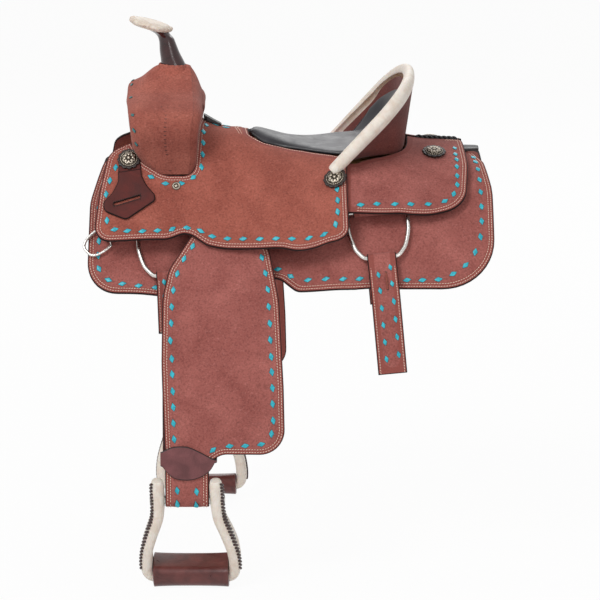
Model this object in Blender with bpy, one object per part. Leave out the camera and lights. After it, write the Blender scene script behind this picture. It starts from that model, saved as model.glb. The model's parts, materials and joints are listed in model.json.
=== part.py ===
"""Western trail saddle, built as its separate pieces.

Frame: metres, +Z up, the pommel towards -X, the rider's left (near) side towards -Y.
X = 0 lies between fork and cantle; Z = 0 is the ridge of the panel surface on the horse's back.
"""
import math

import bmesh
import bpy
import numpy as np
from mathutils import Matrix, Vector
from mathutils.geometry import delaunay_2d_cdt

# Leather and padding thicknesses
GAP = 0.0003
SKIRT_T = 0.0055
FLEECE_T = 0.012
FLEECE_INSET = 0.0170
SEAT_T = 0.005
FENDER_T = 0.0048
STRAP_T = 0.0045
BAR_T = 0.018
EDGE = 0.0012

# Fork, horn and cantle
HORN_X = -0.2035
HORN_FLOOR_Z = 0.138
HORN_LEAN = math.radians(11.0)
HORN_BASE_R = 0.0215
COVER_T = 0.0038
CAP_CENTRE = Vector((-0.2405, 0.0, 0.2245))
CAP_TILT = math.radians(15.0)
CAP_R = 0.0335
CANTLE_HALF_W = 0.170
CANTLE_ROLL_R = 0.0105
BOARD_HALF_T = 0.006
FOOT_SINK = 0.0054

# Fender, stirrup leather and stirrup
FENDER_PIVOT = (-0.150, 0.131, -0.056)
FENDER_SLOPE = math.radians(57.5)
FENDER_STRAIGHT = 0.20
FENDER_BEND_R = 0.40
FENDER_BEND = math.radians(28.0)
NECK_X = -0.1718
NECK_W = 0.0735
BOLT_R = 0.0045
SLEEVE_R = 0.0075
LOOP_R = 0.0079
BOLT_RUN = 0.530
STIRRUP_TILT = math.radians(14.0)
STIRRUP_SHEAR = 0.035
TREAD_HALF_W = 0.0600
TREAD_W = 0.1370
TREAD_DEPTH = 0.072
TREAD_THICK = 0.038
FRAME_BAR_W = 0.1415

# Rigging dees and billets
DEE_R = 0.0040
DEE_LIFT = 0.0088
REAR_DEE = dict(x=0.1475, s_top=0.196, s_bottom=0.280, spin=math.radians(5.0))
FRONT_DEE = dict(x=-0.206, s_top=0.180, s_bottom=0.272, spin=math.radians(3.0))
BREAST_DEE = dict(x=-0.314, s_top=0.190, s_bottom=0.225, spin=math.radians(-48.0))
REAR_DEE_H = 0.086
FRONT_DEE_H = 0.088
BREAST_DEE_LIFT = 0.0064
BILLET_W = 0.0485
REAR_BILLET_L = 0.202
FRONT_BILLET_L = 0.100
FRONT_BILLET_TILT = math.radians(9.0)

# Conchos
ROSETTE_R = 0.0205
CONCHO_R = 0.0158

# Cross sections of the draped surfaces: x, then four Bezier points (sideways, height)
SKIRT_STATIONS = [
    (-0.34, [(0, 0), (0.050, -0.014), (0.116, -0.082), (0.202, -0.232)]),
    (-0.24, [(0, 0), (0.055, -0.012), (0.122, -0.075), (0.212, -0.228)]),
    (-0.04, [(0, 0), (0.055, -0.012), (0.122, -0.075), (0.212, -0.228)]),
    (0.14, [(0, 0.002), (0.095, 0), (0.182, -0.045), (0.248, -0.202)]),
    (0.28, [(0, 0.007), (0.080, 0.001), (0.175, -0.030), (0.252, -0.200)]),
]
SEAT_STATIONS = [
    (-0.34, [(0, 0.055), (0.060, 0.055), (0.124, -0.012), (0.190, -0.128)]),
    (-0.20, [(0, 0.072), (0.070, 0.072), (0.122, -0.008), (0.193, -0.128)]),
    (-0.10, [(0, 0.0445), (0.062, 0.0445), (0.116, 0), (0.197, -0.130)]),
    (0, [(0, 0.018), (0.075, 0.030), (0.145, -0.002), (0.220, -0.132)]),
    (0.09, [(0, 0.016), (0.100, 0.027), (0.182, 0.030), (0.242, -0.110)]),
]
REAR_STATIONS = [
    (0.08, [(0, 0.020), (0.100, 0.027), (0.177, 0.020), (0.232, -0.108)]),
    (0.18, [(0, 0.032), (0.080, 0.030), (0.160, 0.010), (0.215, -0.085)]),
    (0.25, [(0, 0.026), (0.070, 0.020), (0.140, -0.005), (0.200, -0.077)]),
    (0.32, [(0, 0.0235), (0.070, 0.0155), (0.137, -0.010), (0.193, -0.077)]),
]

# Panel outlines on those surfaces: x, distance down from the ridge, corner radius
SKIRT_OUTLINE = [
    (-0.298, 0.014, 0.010), (-0.322, 0.026, 0.03), (-0.3435, 0.120, 0.10), (-0.3445, 0.287, 0.058),
    (-0.200, 0.303, 0.04), (-0.125, 0.303, 0.03), (-0.060, 0.270, 0.03), (-0.018, 0.270, 0.03),
    (0.012, 0.302, 0.03), (0.110, 0.331, 0.10), (0.3455, 0.339, 0.112), (0.3455, 0.150, 0.13),
    (0.334, 0.070, 0.05), (0.312, 0.014, 0.025),
]
SEAT_HALF_OUTLINE = [
    (-0.155, 0.045, 0.022), (-0.163, 0.163, 0.036), (-0.222, 0.168, 0.040), (-0.252, 0.131, 0.05),
    (-0.273, 0.085, 0.004), (-0.310, 0.098, 0.035), (-0.3235, 0.175, 0.08), (-0.333, 0.267, 0.028),
    (-0.205, 0.279, 0.04), (-0.172, 0.262, 0.03), (-0.140, 0.277, 0.03), (-0.010, 0.280, 0.10),
    (0.050, 0.295, 0.06), (0.1015, 0.300, 0.036), (0.0975, 0.215, 0.05), (0.0975, 0.136, 0.006),
    (0.078, 0.1215, 0.02), (0.059, 0.106, 0.03), (0.023, 0.075, 0.04), (-0.015, 0.056, 0.04),
    (-0.047, 0.052, 0.02), (-0.070, 0.034, 0.012),
]
REAR_JOCKEY_OUTLINE = [
    (0.103, 0.246, 0.003), (0.200, 0.240, 0.08), (0.298, 0.212, 0.06), (0.3055, 0.110, 0.10),
    (0.2995, 0.007, 0.010),
]
BAR_OUTLINE = [
    (-0.262, 0.040, 0.03), (-0.262, 0.150, 0.05), (-0.06, 0.150, 0.10), (0.10, 0.150, 0.10),
    (0.262, 0.160, 0.06), (0.262, 0.036, 0.05), (0.05, 0.046, 0.20), (-0.10, 0.046, 0.10),
]
KEEPER_OUTLINE = [
    (-0.2955, 0.1455, 0.002), (-0.2965, 0.163, 0.02), (-0.3155, 0.197, 0.012), (-0.3155, 0.215, 0.014),
    (-0.277, 0.236, 0.012), (-0.228, 0.207, 0.012), (-0.246, 0.172, 0.02), (-0.252, 0.1455, 0.002),
]
FENDER_OUTLINE = [
    (-0.026, 0.034, 0.02), (-0.036, 0.085, 0.03), (-0.071, 0.128, 0.05), (-0.082, 0.175, 0.05),
    (-0.0815, 0.300, 0.30), (-0.0745, 0.455, 0.02), (-0.0745, 0.500, 0.02),
]
FENDER_OUTLINE_REAR = [
    (-0.001, 0.500, 0.02), (-0.001, 0.466, 0.012), (0.020, 0.451, 0.03), (0.127, 0.452, 0.042),
    (0.1255, 0.340, 0.20), (0.1175, 0.180, 0.10), (0.108, 0.098, 0.05), (0.062, 0.034, 0.03),
]

# Foot of the cantle: place along the rim, x, sideways
CANTLE_FOOT = [
    (0, 0.1890, 0), (0.1, 0.1882, 0.041), (0.25, 0.1825, 0.0765), (0.38, 0.1705, 0.0900),
    (0.5, 0.1560, 0.0945), (0.62, 0.1400, 0.1005), (0.86, 0.1040, 0.1195), (1.0, 0.0950, 0.1260),
]

# Arch of the fork: inner point, outer point (sideways, height), front and rear x
FORK_STATIONS = [
    ((0.0900, -0.0200), (0.1060, -0.0330), -0.2080, -0.1900),
    ((0.0935, -0.0160), (0.1205, -0.0180), -0.2160, -0.1840),
    ((0.0920, -0.0060), (0.1205, -0.0060), -0.2300, -0.1760),
    ((0.0910, 0.0090), (0.1215, 0.0090), -0.2475, -0.1715),
    ((0.0890, 0.0260), (0.1270, 0.0260), -0.2600, -0.1685),
    ((0.0830, 0.0440), (0.1370, 0.0480), -0.2640, -0.1660),
    ((0.0720, 0.0590), (0.1400, 0.0690), -0.2665, -0.1630),
    ((0.0560, 0.0700), (0.1270, 0.0870), -0.2690, -0.1580),
    ((0.0370, 0.0770), (0.0990, 0.1000), -0.2730, -0.1550),
    ((0.0180, 0.0800), (0.0600, 0.1130), -0.2770, -0.1575),
    ((0.0080, 0.0810), (0.0270, 0.1330), -0.2775, -0.1600),
    ((0.0, 0.0815), (0.0, 0.1500), -0.2775, -0.1600),
]
COVER_FIRST_STATION = 1

# Colours: red, green, blue, roughness, metallic
ROUGHOUT = (0.36, 0.13, 0.10, 0.9, 0.0)
DARK_LEATHER = (0.12, 0.035, 0.03, 0.45, 0.0)
RAWHIDE = (0.82, 0.73, 0.60, 0.5, 0.0)
BLACK_LEATHER = (0.03, 0.03, 0.035, 0.5, 0.0)
WOOD = (0.55, 0.38, 0.20, 0.7, 0.0)
FLEECE = (0.85, 0.80, 0.70, 1.0, 0.0)
STEEL = (0.62, 0.60, 0.57, 0.3, 1.0)
SILVER = (0.45, 0.42, 0.38, 0.35, 1.0)

SIDES = (("left", -1), ("right", 1))


# Materials and objects

def material(name, colour):
    """A plain Principled material of its own for each object."""
    mat = bpy.data.materials.new(name)
    mat.use_nodes = True
    shader = mat.node_tree.nodes["Principled BSDF"]
    shader.inputs["Base Color"].default_value = (*colour[:3], 1)
    shader.inputs["Roughness"].default_value = colour[3]
    shader.inputs["Metallic"].default_value = colour[4]
    return mat


def add_object(name, data, colour, origin=(0, 0, 0)):
    """Link an object; its mesh is given in world places and its origin is put at origin."""
    obj = bpy.data.objects.new(name, data)
    bpy.context.collection.objects.link(obj)
    data.materials.append(material(name, colour))
    origin = Vector(origin)
    if isinstance(data, bpy.types.Mesh):
        data.transform(Matrix.Translation(-origin))
    obj.location = origin
    return obj


def mesh_object(name, bm, colour, origin=(0, 0, 0), smooth=40.0):
    bmesh.ops.recalc_face_normals(bm, faces=bm.faces)
    mesh = bpy.data.meshes.new(name)
    bm.to_mesh(mesh)
    bm.free()
    mesh.shade_smooth()
    mesh.set_sharp_from_angle(angle=math.radians(smooth))
    return add_object(name, mesh, colour, origin)


def cut(obj, cutter):
    """Cut obj with a hidden cutter object."""
    cutter.hide_render = True
    cutter.display_type = "WIRE"
    boolean = obj.modifiers.new("cut", "BOOLEAN")
    boolean.operation = "DIFFERENCE"
    boolean.solver = "EXACT"
    boolean.object = cutter


# Solids from rings, grids and tubes

def loft(rings, closed_path=False):
    """Closed mesh through rings of equal length, capped at both ends unless the path closes."""
    bm = bmesh.new()
    loops = [[bm.verts.new(p) for p in ring] for ring in rings]
    count = len(loops[0])
    pairs = list(zip(loops, loops[1:]))
    if closed_path:
        pairs.append((loops[-1], loops[0]))
    for a, b in pairs:
        for i in range(count):
            j = (i + 1) % count
            bm.faces.new((a[i], a[j], b[j], b[i]))
    if not closed_path:
        bm.faces.new(list(reversed(loops[0])))
        bm.faces.new(loops[-1])
    return bm


def shell(outer, inner):
    """Closed mesh between two open grids of points that share their layout."""
    rows, cols = len(outer), len(outer[0])
    bm = bmesh.new()
    top = [[bm.verts.new(p) for p in row] for row in outer]
    low = [[bm.verts.new(p) for p in row] for row in inner]
    for i in range(rows - 1):
        for j in range(cols - 1):
            bm.faces.new((top[i][j], top[i][j + 1], top[i + 1][j + 1], top[i + 1][j]))
            bm.faces.new((low[i][j], low[i + 1][j], low[i + 1][j + 1], low[i][j + 1]))
    edge = [(i, 0) for i in range(rows)] + [(rows - 1, j) for j in range(1, cols)]
    edge += [(i, cols - 1) for i in range(rows - 2, -1, -1)] + [(0, j) for j in range(cols - 2, 0, -1)]
    for (i, j), (k, m) in zip(edge, edge[1:] + edge[:1]):
        bm.faces.new((top[i][j], top[k][m], low[k][m], low[i][j]))
    return bm


def grid_normals(grid):
    """Unit normals of a grid of points, by differences."""
    pts = np.array([[tuple(p) for p in row] for row in grid])
    du = np.gradient(pts, axis=1)
    dv = np.gradient(pts, axis=0)
    normal = np.cross(dv, du)
    normal /= np.linalg.norm(normal, axis=2, keepdims=True)
    return normal


def round_section(width, thick, radius, steps=3):
    """Points of a rounded rectangle, counter-clockwise from the right side."""
    points = []
    for sx, sy, start in ((1, 1, 0), (-1, 1, 90), (-1, -1, 180), (1, -1, 270)):
        cx = sx * (width / 2 - radius)
        cy = sy * (thick / 2 - radius)
        for k in range(steps + 1):
            a = math.radians(start + 90 * k / steps)
            points.append((cx + radius * math.cos(a), cy + radius * math.sin(a)))
    return points


def smooth_path(points, count, closed=False):
    """Points along a Catmull-Rom curve through the given ones, evenly spaced in parameter."""
    pts = [Vector(p) for p in points]
    n = len(pts)
    spans = n if closed else n - 1
    result = []
    for k in range(count if closed else count + 1):
        t = k / count * spans
        i = min(int(t), spans - 1)
        f = t - i
        if closed:
            p0, p1, p2, p3 = (pts[(i + q) % n] for q in (-1, 0, 1, 2))
        else:
            p0, p1, p2, p3 = (pts[min(max(i + q, 0), n - 1)] for q in (-1, 0, 1, 2))
        result.append(0.5 * ((2 * p1) + (p2 - p0) * f + (2 * p0 - 5 * p1 + 4 * p2 - p3) * f * f
                             + (3 * p1 - p0 - 3 * p2 + p3) * f ** 3))
    return result


def tube_curve(name, points, radius, colour, closed=False, resolution=2, origin=(0, 0, 0)):
    """A round bar or roll: a poly curve with a bevel and filled ends."""
    origin = Vector(origin)
    curve = bpy.data.curves.new(name, "CURVE")
    curve.dimensions = "3D"
    curve.bevel_depth = radius
    curve.bevel_resolution = resolution
    curve.use_fill_caps = not closed
    spline = curve.splines.new("POLY")
    spline.points.add(len(points) - 1)
    for target, p in zip(spline.points, points):
        target.co = (*(Vector(p) - origin), 1)
    spline.use_cyclic_u = closed
    obj = add_object(name, curve, colour)
    obj.location = origin
    return obj


# Draped surfaces

class Drape:
    """A surface over the horse's back, given by Bezier cross sections at stations along X."""

    def __init__(self, stations):
        self.stations = [(x, np.array(p, float)) for x, p in stations]
        self.cache = {}

    def control(self, x):
        first, last = self.stations[0], self.stations[-1]
        if x <= first[0]:
            return first[1]
        if x >= last[0]:
            return last[1]
        for (x0, a), (x1, b) in zip(self.stations, self.stations[1:]):
            if x <= x1:
                t = (x - x0) / (x1 - x0)
                t = t * t * (3 - 2 * t)
                return a * (1 - t) + b * t

    def table(self, x):
        key = round(x, 5)
        if key not in self.cache:
            b = self.control(x)
            t = np.linspace(0, 1, 121)[:, None]
            p = (1 - t) ** 3 * b[0] + 3 * t * (1 - t) ** 2 * b[1] + 3 * t * t * (1 - t) * b[2] + t ** 3 * b[3]
            tail = (b[3] - b[2]) / np.linalg.norm(b[3] - b[2])
            p = np.vstack([p, b[3] + tail * np.linspace(0.01, 0.3, 30)[:, None]])
            run = np.concatenate([[0], np.cumsum(np.linalg.norm(np.diff(p, axis=0), axis=1))])
            self.cache[key] = (run, p)
        return self.cache[key]

    def point(self, x, s, lift=0.0, side=-1):
        """World point at x, at distance s down from the ridge, lifted along the normal."""
        if s < 0:
            s, side = -s, -side
        run, p = self.table(x)
        here = [np.interp(s, run, p[:, k]) for k in (0, 1)]
        low = [np.interp(max(s - 0.002, 0), run, p[:, k]) for k in (0, 1)]
        high = [np.interp(max(s - 0.002, 0) + 0.004, run, p[:, k]) for k in (0, 1)]
        slope = math.atan2(low[1] - high[1], high[0] - low[0])
        sideways = here[0] + lift * math.sin(slope) * min(1.0, s / 0.004)
        return Vector((x, side * sideways, here[1] + lift * math.cos(slope)))

    def normal(self, x, s, side=-1):
        a = self.point(x + 0.003, s, 0, side) - self.point(x - 0.003, s, 0, side)
        b = self.point(x, s + 0.003, 0, side) - self.point(x, s - 0.003, 0, side)
        n = a.cross(b).normalized()
        return n if n.z > 0 else -n


SKIRT = Drape(SKIRT_STATIONS)
SEAT = Drape(SEAT_STATIONS)
REAR = Drape(REAR_STATIONS)


# Outlines of panels

def rounded_outline(corners, step, arc=30.0):
    """Closed outline through corners (u, v, radius), with long edges split into steps."""
    n = len(corners)
    points = []
    for i, (u, v, radius) in enumerate(corners):
        here = Vector((u, v))
        before = Vector(corners[i - 1][:2]) - here
        after = Vector(corners[(i + 1) % n][:2]) - here
        angle = before.angle(after)
        reach = radius / math.tan(angle / 2)
        reach = min(reach, 0.48 * before.length, 0.48 * after.length)
        radius = reach * math.tan(angle / 2)
        start = here + before.normalized() * reach
        end = here + after.normalized() * reach
        turns = max(1, round(math.degrees(math.pi - angle) / arc))
        if radius < 1e-5 or reach < 1e-5:
            points.append(here)
            continue
        centre = here + (before.normalized() + after.normalized()).normalized() * (radius / math.sin(angle / 2))
        a0 = math.atan2(start.y - centre.y, start.x - centre.x)
        a1 = math.atan2(end.y - centre.y, end.x - centre.x)
        sweep = (a1 - a0 + math.pi) % (2 * math.pi) - math.pi
        for k in range(turns + 1):
            a = a0 + sweep * k / turns
            points.append(centre + radius * Vector((math.cos(a), math.sin(a))))
    result = []
    for p, q in zip(points, points[1:] + points[:1]):
        pieces = max(1, math.ceil((q - p).length / step))
        if (q - p).length > 1e-6:
            result += [p.lerp(q, k / pieces) for k in range(pieces)]
    return result


def area(loop):
    return sum(p.x * q.y - q.x * p.y for p, q in zip(loop, loop[1:] + loop[:1])) / 2


def inset(loop, amount):
    """The outline moved inwards by amount."""
    sign = 1 if area(loop) > 0 else -1
    result = []
    n = len(loop)
    for i, p in enumerate(loop):
        a = (p - loop[i - 1]).normalized()
        b = (loop[(i + 1) % n] - p).normalized()
        normal = sign * Vector((-(a.y + b.y), a.x + b.x)).normalized()
        grow = max(0.5, normal.dot(sign * Vector((-a.y, a.x))))
        result.append(p + normal * (amount / grow))
    return result


def inside(p, loop):
    hit = False
    for a, b in zip(loop, loop[1:] + loop[:1]):
        if (a.y > p.y) != (b.y > p.y) and p.x < (b.x - a.x) * (p.y - a.y) / (b.y - a.y) + a.x:
            hit = not hit
    return hit


def edge_distance(p, loop):
    best = 1.0
    for a, b in zip(loop, loop[1:] + loop[:1]):
        ab = b - a
        t = min(1.0, max(0.0, (p - a).dot(ab) / ab.length_squared))
        best = min(best, (p - a - ab * t).length)
    return best


def grid_inside(loops, us, vs, clear):
    """Grid points inside the outline and clear of all loops."""
    points = []
    for u in us:
        for v in vs:
            p = Vector((u, v))
            if inside(p, loops[0]) and not any(inside(p, h) for h in loops[1:]):
                if min(edge_distance(p, loop) for loop in loops) > clear:
                    points.append(p)
    return points


def panel(place, loops, us, vs, low, high, edge=EDGE, clear=0.006):
    """A leather panel: outline loops (outer, then holes) filled, placed and given thickness.

    place(u, v, lift) gives the world point. The face at high has a bevelled rim, unless edge is 0."""
    rings = [inset(loops[0], edge)] if edge else []
    coords = [p for loop in loops + rings for p in loop]
    edges = []
    start = 0
    for loop in loops + rings:
        edges += [(start + k, start + (k + 1) % len(loop)) for k in range(len(loop))]
        start += len(loop)
    coords += grid_inside((rings or loops[:1]) + loops[1:], us, vs, clear)
    out = delaunay_2d_cdt(coords, edges, [], 1, 1e-7)
    verts = out[0]
    rim = set()
    for new, old in enumerate(out[3]):
        if any(k < sum(len(loop) for loop in loops) for k in old):
            rim.add(new)
    faces = []
    for face in out[2]:
        middle = sum((verts[k] for k in face), Vector((0, 0))) / 3
        if inside(middle, loops[0]) and not any(inside(middle, hole) for hole in loops[1:]):
            faces.append(list(face))
    lifted = callable(high)
    bm = bmesh.new()
    top = []
    bottom = []
    for k, p in enumerate(verts):
        rise = high(p.x, p.y) if lifted else high
        top.append(bm.verts.new(place(p.x, p.y, rise - (edge if k in rim else 0))))
        bottom.append(bm.verts.new(place(p.x, p.y, low)))
    uses = {}
    for face in faces:
        bm.faces.new([top[k] for k in face])
        bm.faces.new([bottom[k] for k in reversed(face)])
        for a, b in zip(face, face[1:] + face[:1]):
            uses[(a, b)] = uses.get((a, b), 0) + 1
    for a, b in uses:
        if (b, a) not in uses:
            bm.faces.new((top[b], top[a], bottom[a], bottom[b]))
    for vert in [v for v in bm.verts if not v.link_faces]:
        bm.verts.remove(vert)
    return bm


def steps(low, high, step):
    count = max(1, round((high - low) / step))
    return [low + (high - low) * k / count for k in range(count + 1)]


def on(drape, side):
    return lambda x, s, lift: drape.point(x, s, lift, side)


# Skirts, fleece and tree bars

def build_skirts(side_name, side):
    outline = rounded_outline(SKIRT_OUTLINE, 0.050)
    rows = [0.035, 0.06, 0.085, 0.11, 0.145, 0.19, 0.24, 0.29]
    cols = steps(-0.30, 0.31, 0.055)
    mesh_object("skirt_" + side_name, panel(on(SKIRT, side), [outline], cols, rows, -SKIRT_T, 0.0, clear=0.01),
                ROUGHOUT)
    fleece = inset(rounded_outline(SKIRT_OUTLINE, 0.060, arc=40), FLEECE_INSET)
    top = -SKIRT_T - 0.0038
    mesh_object("fleece_" + side_name,
                panel(on(SKIRT, side), [fleece], steps(-0.28, 0.29, 0.055), rows[::2], top - FLEECE_T, top,
                      edge=0, clear=0.012), FLEECE)


def bar_thickness(x, s):
    """Thick under fork and seat, thin at the rear tips, rounded towards both edges."""
    along = float(np.interp(x, [-0.03, 0.02, 0.13, 0.24], [BAR_T, 0.010, 0.0065, 0.0040]))
    across = 1 - abs((s - 0.100) / 0.078) ** 3
    return 0.0028 + max(0.0016, along * max(0.3, across))


def build_bar(side_name, side):
    outline = rounded_outline(BAR_OUTLINE, 0.055)
    rows = [0.055, 0.078, 0.10, 0.118, 0.135]
    mesh_object("bar_" + side_name, panel(on(SKIRT, side), [outline], steps(-0.23, 0.23, 0.058), rows,
                                          0.0028, bar_thickness, edge=0, clear=0.010), WOOD)


# Seat leather, pad and ground seat

def seat_outline():
    """Both halves as one loop: the seat leather runs across the ridge behind the fork."""
    half = SEAT_HALF_OUTLINE
    mirrored = [(x, -s, r) for x, s, r in reversed(half)]
    return rounded_outline(half + [(-0.0735, 0, 0)] + mirrored + [(-0.154, 0, 0)], 0.040)


def build_seat_leather():
    rows = [0.0, 0.025, 0.05, 0.075, 0.10, 0.13, 0.17, 0.21, 0.25]
    rows = [-r for r in reversed(rows[1:])] + rows
    mesh_object("seat_leather", panel(on(SEAT, -1), [seat_outline()], steps(-0.30, 0.08, 0.045), rows,
                                      -SEAT_T, 0.0, clear=0.009), ROUGHOUT)
    strip = rounded_outline([(-0.150, 0.012, 0.006), (-0.119, 0.009, 0.004), (-0.119, -0.009, 0.004),
                             (-0.150, -0.012, 0.006)], 0.01)
    mesh_object("handhold_strip", panel(on(SEAT, -1), [strip], steps(-0.145, -0.125, 0.01), [-0.005, 0.005],
                                        0.0020, lambda x, s: 0.0045 + 0.006 * (-0.119 - x) / 0.031,
                                        edge=0.0015, clear=0.003), BLACK_LEATHER)


def superellipse(l, half_width, power):
    return (1 - min(1.0, abs(l) / half_width) ** power) ** (1 / power)


def rim_point(phi):
    """Centre of the cantle's rolled rim; phi runs from -1 at the left arm to 1 at the right."""
    a = abs(phi)
    if a > 0.62:
        l = CANTLE_HALF_W
        x = 0.150 - (0.150 - 0.0825) * (a - 0.62) / 0.38
    else:
        l = CANTLE_HALF_W * math.sin(math.pi / 2 * a / 0.62) ** 0.87
        x = 0.150 + 0.056 * superellipse(l, CANTLE_HALF_W, 2.3)
    z = 0.0068 + (x - 0.083) * 1.088
    return Vector((x, math.copysign(l, phi), z))


def along(table, t):
    """Smooth curve through rows (t, values...), with tangents from their neighbours."""
    rows = np.array(table, float)
    k = int(np.clip(np.searchsorted(rows[:, 0], t) - 1, 0, len(rows) - 2))
    slopes = np.gradient(rows[:, 1:], rows[:, 0], axis=0)
    span = rows[k + 1, 0] - rows[k, 0]
    f = (t - rows[k, 0]) / span
    return ((1 + 2 * f) * (1 - f) ** 2 * rows[k, 1:] + f * (1 - f) ** 2 * span * slopes[k]
            + f * f * (3 - 2 * f) * rows[k + 1, 1:] + f * f * (f - 1) * span * slopes[k + 1])


def base_point(phi):
    """Foot of the cantle board, under the rim: narrower than the rim and square at its corners."""
    x, l = along(CANTLE_FOOT, abs(phi))
    run, p = REAR.table(x)
    z = float(np.interp(l, p[:, 0], p[:, 1])) - FOOT_SINK
    return Vector((x, math.copysign(l, phi), z))


def cantle_sheet(phis, ts, offset):
    """Grid on the cantle: from its foot (t = 0) to under the roll (t = 1), offset to the rear."""
    grid = []
    for phi in phis:
        foot, top = base_point(phi), rim_point(phi)
        ahead = rim_point(min(phi + 0.05, 1)) - rim_point(max(phi - 0.05, -1))
        out = Vector((ahead.y, -ahead.x, 0)).normalized()
        rise = (top - foot).normalized()
        lean = max(0.3, rise.cross(ahead.normalized()).length)
        clear = CANTLE_ROLL_R + 0.0024 + max(0.0, offset * out.dot(rise))
        limit = 1 - clear / lean / (top - foot).length
        grid.append([foot.lerp(top, t * limit) + out * offset for t in ts])
    return grid


def cantle_foot_line(offset, count):
    """Points (x, sideways) where the near half of the cantle comes through the jockeys."""
    line = []
    for k in range(count + 1):
        low, high = cantle_sheet([0.80 * k / count], [0, 1], offset)[0]
        p = low.lerp(high, (FOOT_SINK + 0.001) / (high.z - low.z))
        line.append((p.x, abs(p.y)))
    return line


def build_cantle():
    phis = [math.copysign(abs(k / 10) ** 0.9, k) * 0.86 for k in range(-10, 11)]
    ts = [0, 0.35, 0.7, 1]
    front, rear = cantle_sheet(phis, ts, -BOARD_HALF_T), cantle_sheet(phis, ts, BOARD_HALF_T)
    mesh_object("cantle_board", shell(rear, front), WOOD)
    rear, front = (cantle_sheet(phis, ts, BOARD_HALF_T + d) for d in (GAP + 0.0036, GAP))
    mesh_object("cantle_back", shell(rear, front), ROUGHOUT)
    ts = [0.74, 1]
    rear, front = (cantle_sheet(phis, ts, -BOARD_HALF_T - d) for d in (GAP, GAP + 0.003))
    mesh_object("cantle_liner", shell(rear, front), ROUGHOUT)
    rim = [rim_point(k / 16) for k in range(-16, 17)]
    tube_curve("cantle_binding", rim, CANTLE_ROLL_R, RAWHIDE, resolution=2)


def pad_grid():
    """Middle surface of the padded seat, from its front tip back and up the cantle."""
    edge = [(-0.066, 0.010), (-0.060, 0.030), (-0.044, 0.0475), (-0.015, 0.0520), (0.023, 0.070),
            (0.059, 0.0990), (0.079, 0.1120), (0.094, 0.1150)]
    mids = [(-0.0675, 0.0385), (-0.056, 0.0360), (-0.035, 0.0295), (-0.005, 0.0210), (0.040, 0.0130),
            (0.082, 0.0090), (0.112, 0.0095), (0.134, 0.0135)]
    rows = []
    for k, ((x, s), (xm, zm)) in enumerate(zip(edge, mids)):
        side_point = SEAT.point(x, s, 0, 1)
        power = 2.0 + 0.25 * k
        rows.append((side_point - Vector((0, 0, 0.002)), xm, zm, power))
    grid = []
    for side_point, xm, zm, power in rows:
        row = []
        for k in range(-7, 8):
            u = math.sin(math.pi / 2 * k / 7)
            f = abs(u) ** power
            g = abs(u) ** 2.4
            row.append(Vector((xm + (side_point.x - xm) * f, side_point.y * u, zm + (side_point.z - zm) * g)))
        grid.append(row)
    for t, away in ((0.16, 0.016), (0.32, 0.006), (0.52, 0.0008), (0.70, 0.0008)):
        phis = [0.665 * math.copysign(abs(k / 7) ** 0.95, k) for k in range(-7, 8)]
        grid.append([line[0] for line in cantle_sheet(phis, [t], -BOARD_HALF_T - away)])
    columns = [smooth_path([row[j] for row in grid], 14) for j in range(len(grid[0]))]
    return [[column[i] for column in columns] for i in range(15)]


def build_seat_pad():
    grid = pad_grid()
    normals = grid_normals(grid)
    top, low, seat_top, seat_low = [], [], [], []
    rows, cols = len(grid), len(grid[0])
    for i in range(rows):
        lines = ([], [], [], [])
        for j in range(cols):
            n = Vector(normals[i][j])
            border = min(i, j, rows - 1 - i, cols - 1 - j)
            height = (0.0032, 0.0062, 0.0082)[min(border, 2)]
            lines[0].append(grid[i][j] + n * height)
            lines[1].append(grid[i][j] + n * 0.0008)
            lines[2].append(grid[i][j] - n * 0.0022)
            lines[3].append(grid[i][j] - n * 0.0056)
        for target, line in zip((top, low, seat_top, seat_low), lines):
            target.append(line)
    mesh_object("seat_pad", shell(top, low), BLACK_LEATHER, smooth=60)
    last = 9
    mesh_object("ground_seat", shell([r[1:-1:2] for r in seat_top[1:last:2]], [r[1:-1:2] for r in seat_low[1:last:2]]),
                WOOD, smooth=60)


# Fork, its leather cover and the horn

def fork_rings(grow, first):
    """Open sections along the arch, from the left foot over the top to the right foot."""
    half = []
    for station, ((li, zi), (lo, zo), xf, xr) in enumerate(FORK_STATIONS):
        if station < first:
            continue
        crown = station / (len(FORK_STATIONS) - 1)
        low, high = Vector((0, li, zi)), Vector((0, lo, zo))
        up = (high - low).normalized()
        depth = (high - low).length
        width = xr - xf
        front_r = min(0.20 * width + 0.0285 * crown ** 6, 0.45 * depth + 0.020 * crown)
        rear_r = min(0.17 * width, 0.45 * depth)
        rise = min(0.52 * depth, 0.012 + 0.0245 * crown ** 3)
        slant = crown ** 8
        ring = [Vector((xf - grow, 0, 0)) + low, Vector((xf - grow, 0, 0)) + low + up * (depth - rise) * 0.5]
        for k in range(4):
            a = math.pi / 2 * k / 3
            across = (1 - math.cos(a)) * (1 - slant) + (0, 0.10, 0.45, 1)[k] * slant
            height = math.sin(a) * (1 - slant) + (0, 0.25, 0.49, 1)[k] * slant
            x = xf - grow + (front_r + grow) * across
            ring.append(low + Vector((x, 0, 0)) + up * (depth - rise + (rise + grow) * height))
        for k in range(4):
            a = math.pi / 2 * (1 - k / 3)
            across = (1 - math.cos(a)) * (1 - slant) + (1, 0.64, 0.29, 0)[k] * slant
            height = math.sin(a) * (1 - slant) + (1, 0.76, 0.33, 0)[k] * slant
            x = xr + grow - (rear_r + grow) * across
            ring.append(low + Vector((x, 0, 0)) + up * (depth - rise + (rise + grow) * height))
        ring += [Vector((xr + grow, 0, 0)) + low + up * (depth - rise) * 0.5, Vector((xr + grow, 0, 0)) + low]
        half.append(ring)
    left = [[Vector((p.x, -p.y, p.z)) for p in ring] for ring in half]
    return left + [[Vector(p) for p in ring] for ring in reversed(half[:-1])]


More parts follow.
